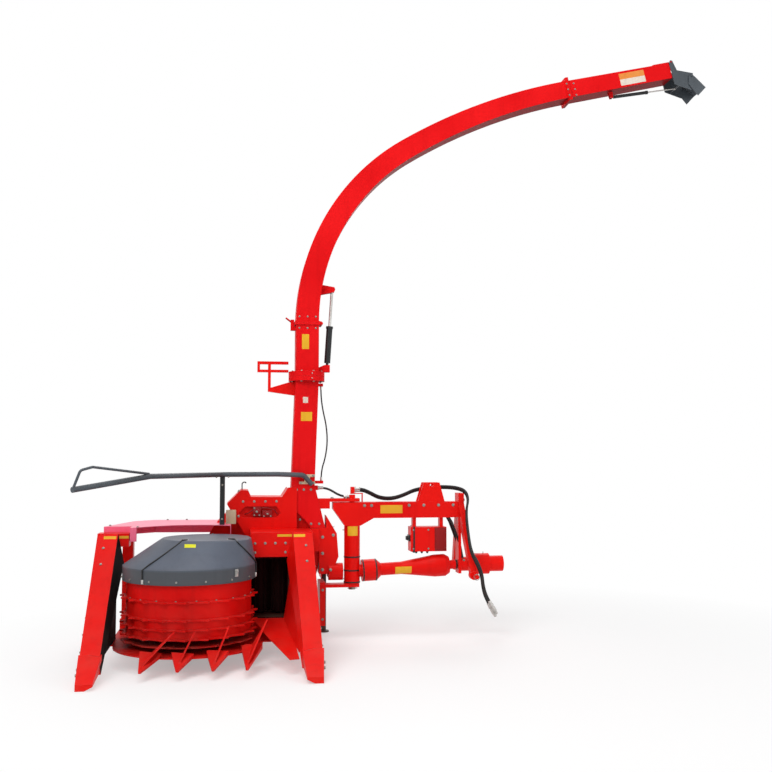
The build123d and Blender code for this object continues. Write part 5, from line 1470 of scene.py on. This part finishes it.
@dataclass(frozen=True)
class HitchGear:
    """Fittings of the hitch: valve box, strap, brace, link pins' clips and the rings round its tubes."""

    lid: Blocks = (((1683, 536, 602), (1766, 541, 766), 2.0), ((1692, 533, 612), (1757, 537, 756), 1.5))
    ports: tuple[float, ...] = (1560, 1600, 1640)
    bells: Pairs = ((1171, 76.0), (1262, 76.0), (1848, 32.0))
    shaft_z: float = 462.0
    shaft_rise: float = 38.0
    shaft_run: float = 781.0
    shaft_way: Triple = (1, 0, 0.0487)
    post_shade_rings: tuple[float, ...] = (384.0, 466.0, 560.0)
    post_r: float = 53.0
    strap: Blocks = (
        ((1528, 537, 594), (1540, 541, 774), 1.0),
        ((1528, 537, 590), (1540, 663, 598.5), 1.0),
        ((1528, 659.5, 594), (1540, 663, 774), 1.0),
    )
    brace: Points = ((1790, 40, 838), (1812, 44, 800), (1872, 40, 640), (1890, 38, 548))
    brace_r: float = 8.0
    pin_x: float = 1906.0
    pin_reach: float = 395.0
    clip_r: float = 19.5
    nut_handle: Points = ((1066, 600, 343), (1128, 600, 343), (1136, 604, 343))

    def valve(self) -> None:
        """Make the valve box's lid and ports."""
        Part().blocks(self.lid).done("valve_lid", "hitch", CRIMSON, Slot.RED)
        ports = Part()
        ports.block((1500, 560, 668), (1512, 640, 712), 3.0)
        ports.round((1484, POST_Y, 690), (1512, POST_Y, 690), 15.0, sides=20)
        for x in self.ports:
            ports.round((x, POST_Y, 588), (x, POST_Y, 599), 11.0, sides=6)
            ports.round((x, POST_Y, 580), (x, POST_Y, 589), 7.0, sides=18)
        ports.done("valve_ports", "hitch", BLACK, Slot.BLACK)

    def rings(self) -> None:
        """Make the rings on the driveline's bells and on the post."""
        rings = Part()
        for x, r in self.bells:
            z = self.shaft_z + (x - POST_X) * self.shaft_rise / self.shaft_run
            low, high = z + r - 3, z + r + 0.8
            hoop = [(x - 5, POST_Y, low), (x - 5, POST_Y, high), (x + 5, POST_Y, high), (x + 5, POST_Y, low)]
            rings.turned(hoop, (x, POST_Y, z), self.shaft_way)
        # The black rings on the post stand in for dark shaded bands on its lower part: painted shade.
        near, far = POST_X + self.post_r, POST_X + self.post_r + 5.5
        for z in self.post_shade_rings:
            hoop = [(near, POST_Y, z), (far, POST_Y, z), (far, POST_Y, z + 9), (near, POST_Y, z + 9)]
            rings.turned(hoop, (POST_X, POST_Y, z), (0, 0, 1))
        rings.done("hitch_rings", "hitch", BLACK, Slot.BLACK)

    def build(self) -> None:
        """Make them all; the pivot's nut alone rides on the frame."""
        self.valve()
        self.rings()
        Part().blocks(self.strap).done("valve_strap", "hitch", BLACK, Slot.BLACK)
        brace = Part()
        for side in (-1, 1):
            brace.pipe([(x, POST_Y + side * y, z) for x, y, z in self.brace], self.brace_r)
        brace.done("hitch_brace", "hitch", BLACK, Slot.BLACK)
        clips = Part()
        for side in (-1, 1):
            y = POST_Y + side * self.pin_reach
            clips.round((self.pin_x, y, 436), (self.pin_x, y, 476), 4.0, sides=14)
            hoop = circle_points((self.pin_x, y, 452), self.clip_r, 20, "Y")
            for p, q in zip(hoop, hoop[1:] + hoop[:1]):
                clips.round(p, q, 1.8, sides=8, radius=0.0)
        clips.done("linch_pins", "hitch", ZINC, Slot.STEEL)
        nut = Part()
        nut.round((POST_X, POST_Y, 336), (POST_X, POST_Y, 356), 27.0, sides=6, radius=1.5)
        nut.round((POST_X, POST_Y, 351), (POST_X, POST_Y, 356.5), 34.0, sides=32)
        nut.pipe(self.nut_handle, 2.6, 10)
        nut.done("pivot_nut", "frame", ZINC, Slot.STEEL)


@dataclass(frozen=True)
class SpoutGear:
    """Hinge fittings of the spout's flaps and the weld seams of the turning pole."""

    gusset: Pairs = ((3398, 4246.8), (3514, 4274.2), (3512, 4288), (3486, 4283))
    strap: Pairs = ((3400, 4247.2), (3512, 4273.8), (3510.6, 4279.8), (3398.6, 4253.2))
    gusset_ys: tuple[float, ...] = (566.0, 597.0, 637.0, 668.0)
    gusset_t: float = 6.0
    screw_places: Pairs = ((3420, 4257.6), (3452, 4265.1))
    screw_ys: tuple[float, ...] = (584, 620, 656)
    spout_up: Triple = (-0.23, 0, 0.973)
    pin: tuple[float, float] = (3534.8, 4281.9)
    pin_half: float = 76.0
    seam_low: float = 1873.0
    seam_top: float = 2203.0
    seam_r: float = 2.2

    def build(self) -> None:
        """Make the hinge bracket, the pins' heads and the seams."""
        bracket = Part()
        for y in self.gusset_ys:
            bracket.plate([(x, y, z) for x, z in self.gusset], (0, self.gusset_t, 0), 0.8)
        bracket.plate([(x, self.gusset_ys[0], z) for x, z in self.strap], (0, 108, 0), 1.0)
        bracket.done("flap_bracket", "spout", PURPLE, Slot.RED)
        spots = [(x, y, z) for x, z in self.screw_places for y in self.screw_ys]
        Part().bolts(spots, self.spout_up, 7.0).done("flap_bracket_screws", "spout", ZINC, Slot.STEEL)
        heads = Part()
        x, z = self.pin
        for side in (-1, 1):
            y = POLE_Y + side * self.pin_half
            heads.round((x, y, z), (x, y + 8 * side, z), 8.5, sides=6, radius=0.5)
        heads.done("flap_pin_heads", "spout", ZINC, Slot.STEEL)
        seams = Part()
        left, right = POLE_X - POLE_HALF + 2, POLE_X + POLE_HALF - 2
        lines = [((x, self.seam_low), (x, self.seam_top)) for x in (left, right)]
        lines.append(((left, self.seam_low + 1), (right, self.seam_low + 1)))
        for y in (POLE_Y - POLE_HALF, POLE_Y + POLE_HALF):
            for (x0, z0), (x1, z1) in lines:
                seams.round((x0, y, z0), (x1, y, z1), self.seam_r, sides=8, radius=0.0)
        seams.done("pole_seams", "chute", SPOUT_RED, Slot.RED)


@dataclass(frozen=True)
class RearGear:
    """Rear cover and bearing of the chopper housing; a profile's points are radius and place along Y."""

    cover: Pairs = (
        (0.1, 818.0), (130.0, 818.0), (140.0, 815.0), (220.0, 815.0),
        (230.0, 820.0), (262.0, 820.0), (266.0, 809.6),
    )
    hub: Pairs = (
        (0.1, 862.0), (36.0, 862.0), (52.0, 846.0), (60.0, 830.0), (88.0, 817.5),
    )
    stub_r: float = 22.0

    def turned(self, profile: Pairs, steps: int) -> Part:
        """A part turned about the housing's axis from a profile."""
        outline = [(HOUSING_X, y, HOUSING_Z + r) for r, y in profile]
        return Part().turned(outline, HOUSING_BACK, (0, 1, 0), steps)

    def build(self) -> None:
        """Make the cover with its pressed rings, and the bearing."""
        self.turned(self.cover, 72).done("rear_cover", "frame", RED, Slot.RED)
        hub = self.turned(self.hub, 48)
        hub.round((HOUSING_X, 856, HOUSING_Z), (HOUSING_X, 872, HOUSING_Z), self.stub_r)
        hub.done("rear_bearing", "frame", IRON, Slot.IRON)
        screws = Part().bolts(circle_points((HOUSING_X, 820.0, HOUSING_Z), 246.0, 16, "Y"), BACK, 8.0)
        screws.bolts(circle_points((HOUSING_X, 824.0, HOUSING_Z), 72.0, 4, "Y", 45.0), BACK, 10.0)
        screws.done("rear_screws", "frame", ZINC, Slot.STEEL)


def main() -> None:
    """Build the studio, finish the CAD nodes and dress each sub-assembly, in order."""
    logging.basicConfig(level=logging.INFO, format="%(message)s")
    steps: tuple[tuple[str, Callable[[], None]], ...] = (
        ("studio", Studio().build),
        ("hoses", Hoses().build),
        ("finishes", CadFinishes().build),
        ("dome", Dome().build),
        ("hood", Hood().build),
        ("left_shade", LeftShadeSheet().build),
        ("hitch", HitchGear().build),
        ("spout", SpoutGear().build),
        ("rear", RearGear().build),
        ("labels", Labels().build),
        ("fasteners", Fasteners().build),
    )
    for name, build in steps:
        build()
        LOG.info("%s done", name)


if __name__ == "__main__":
    main()
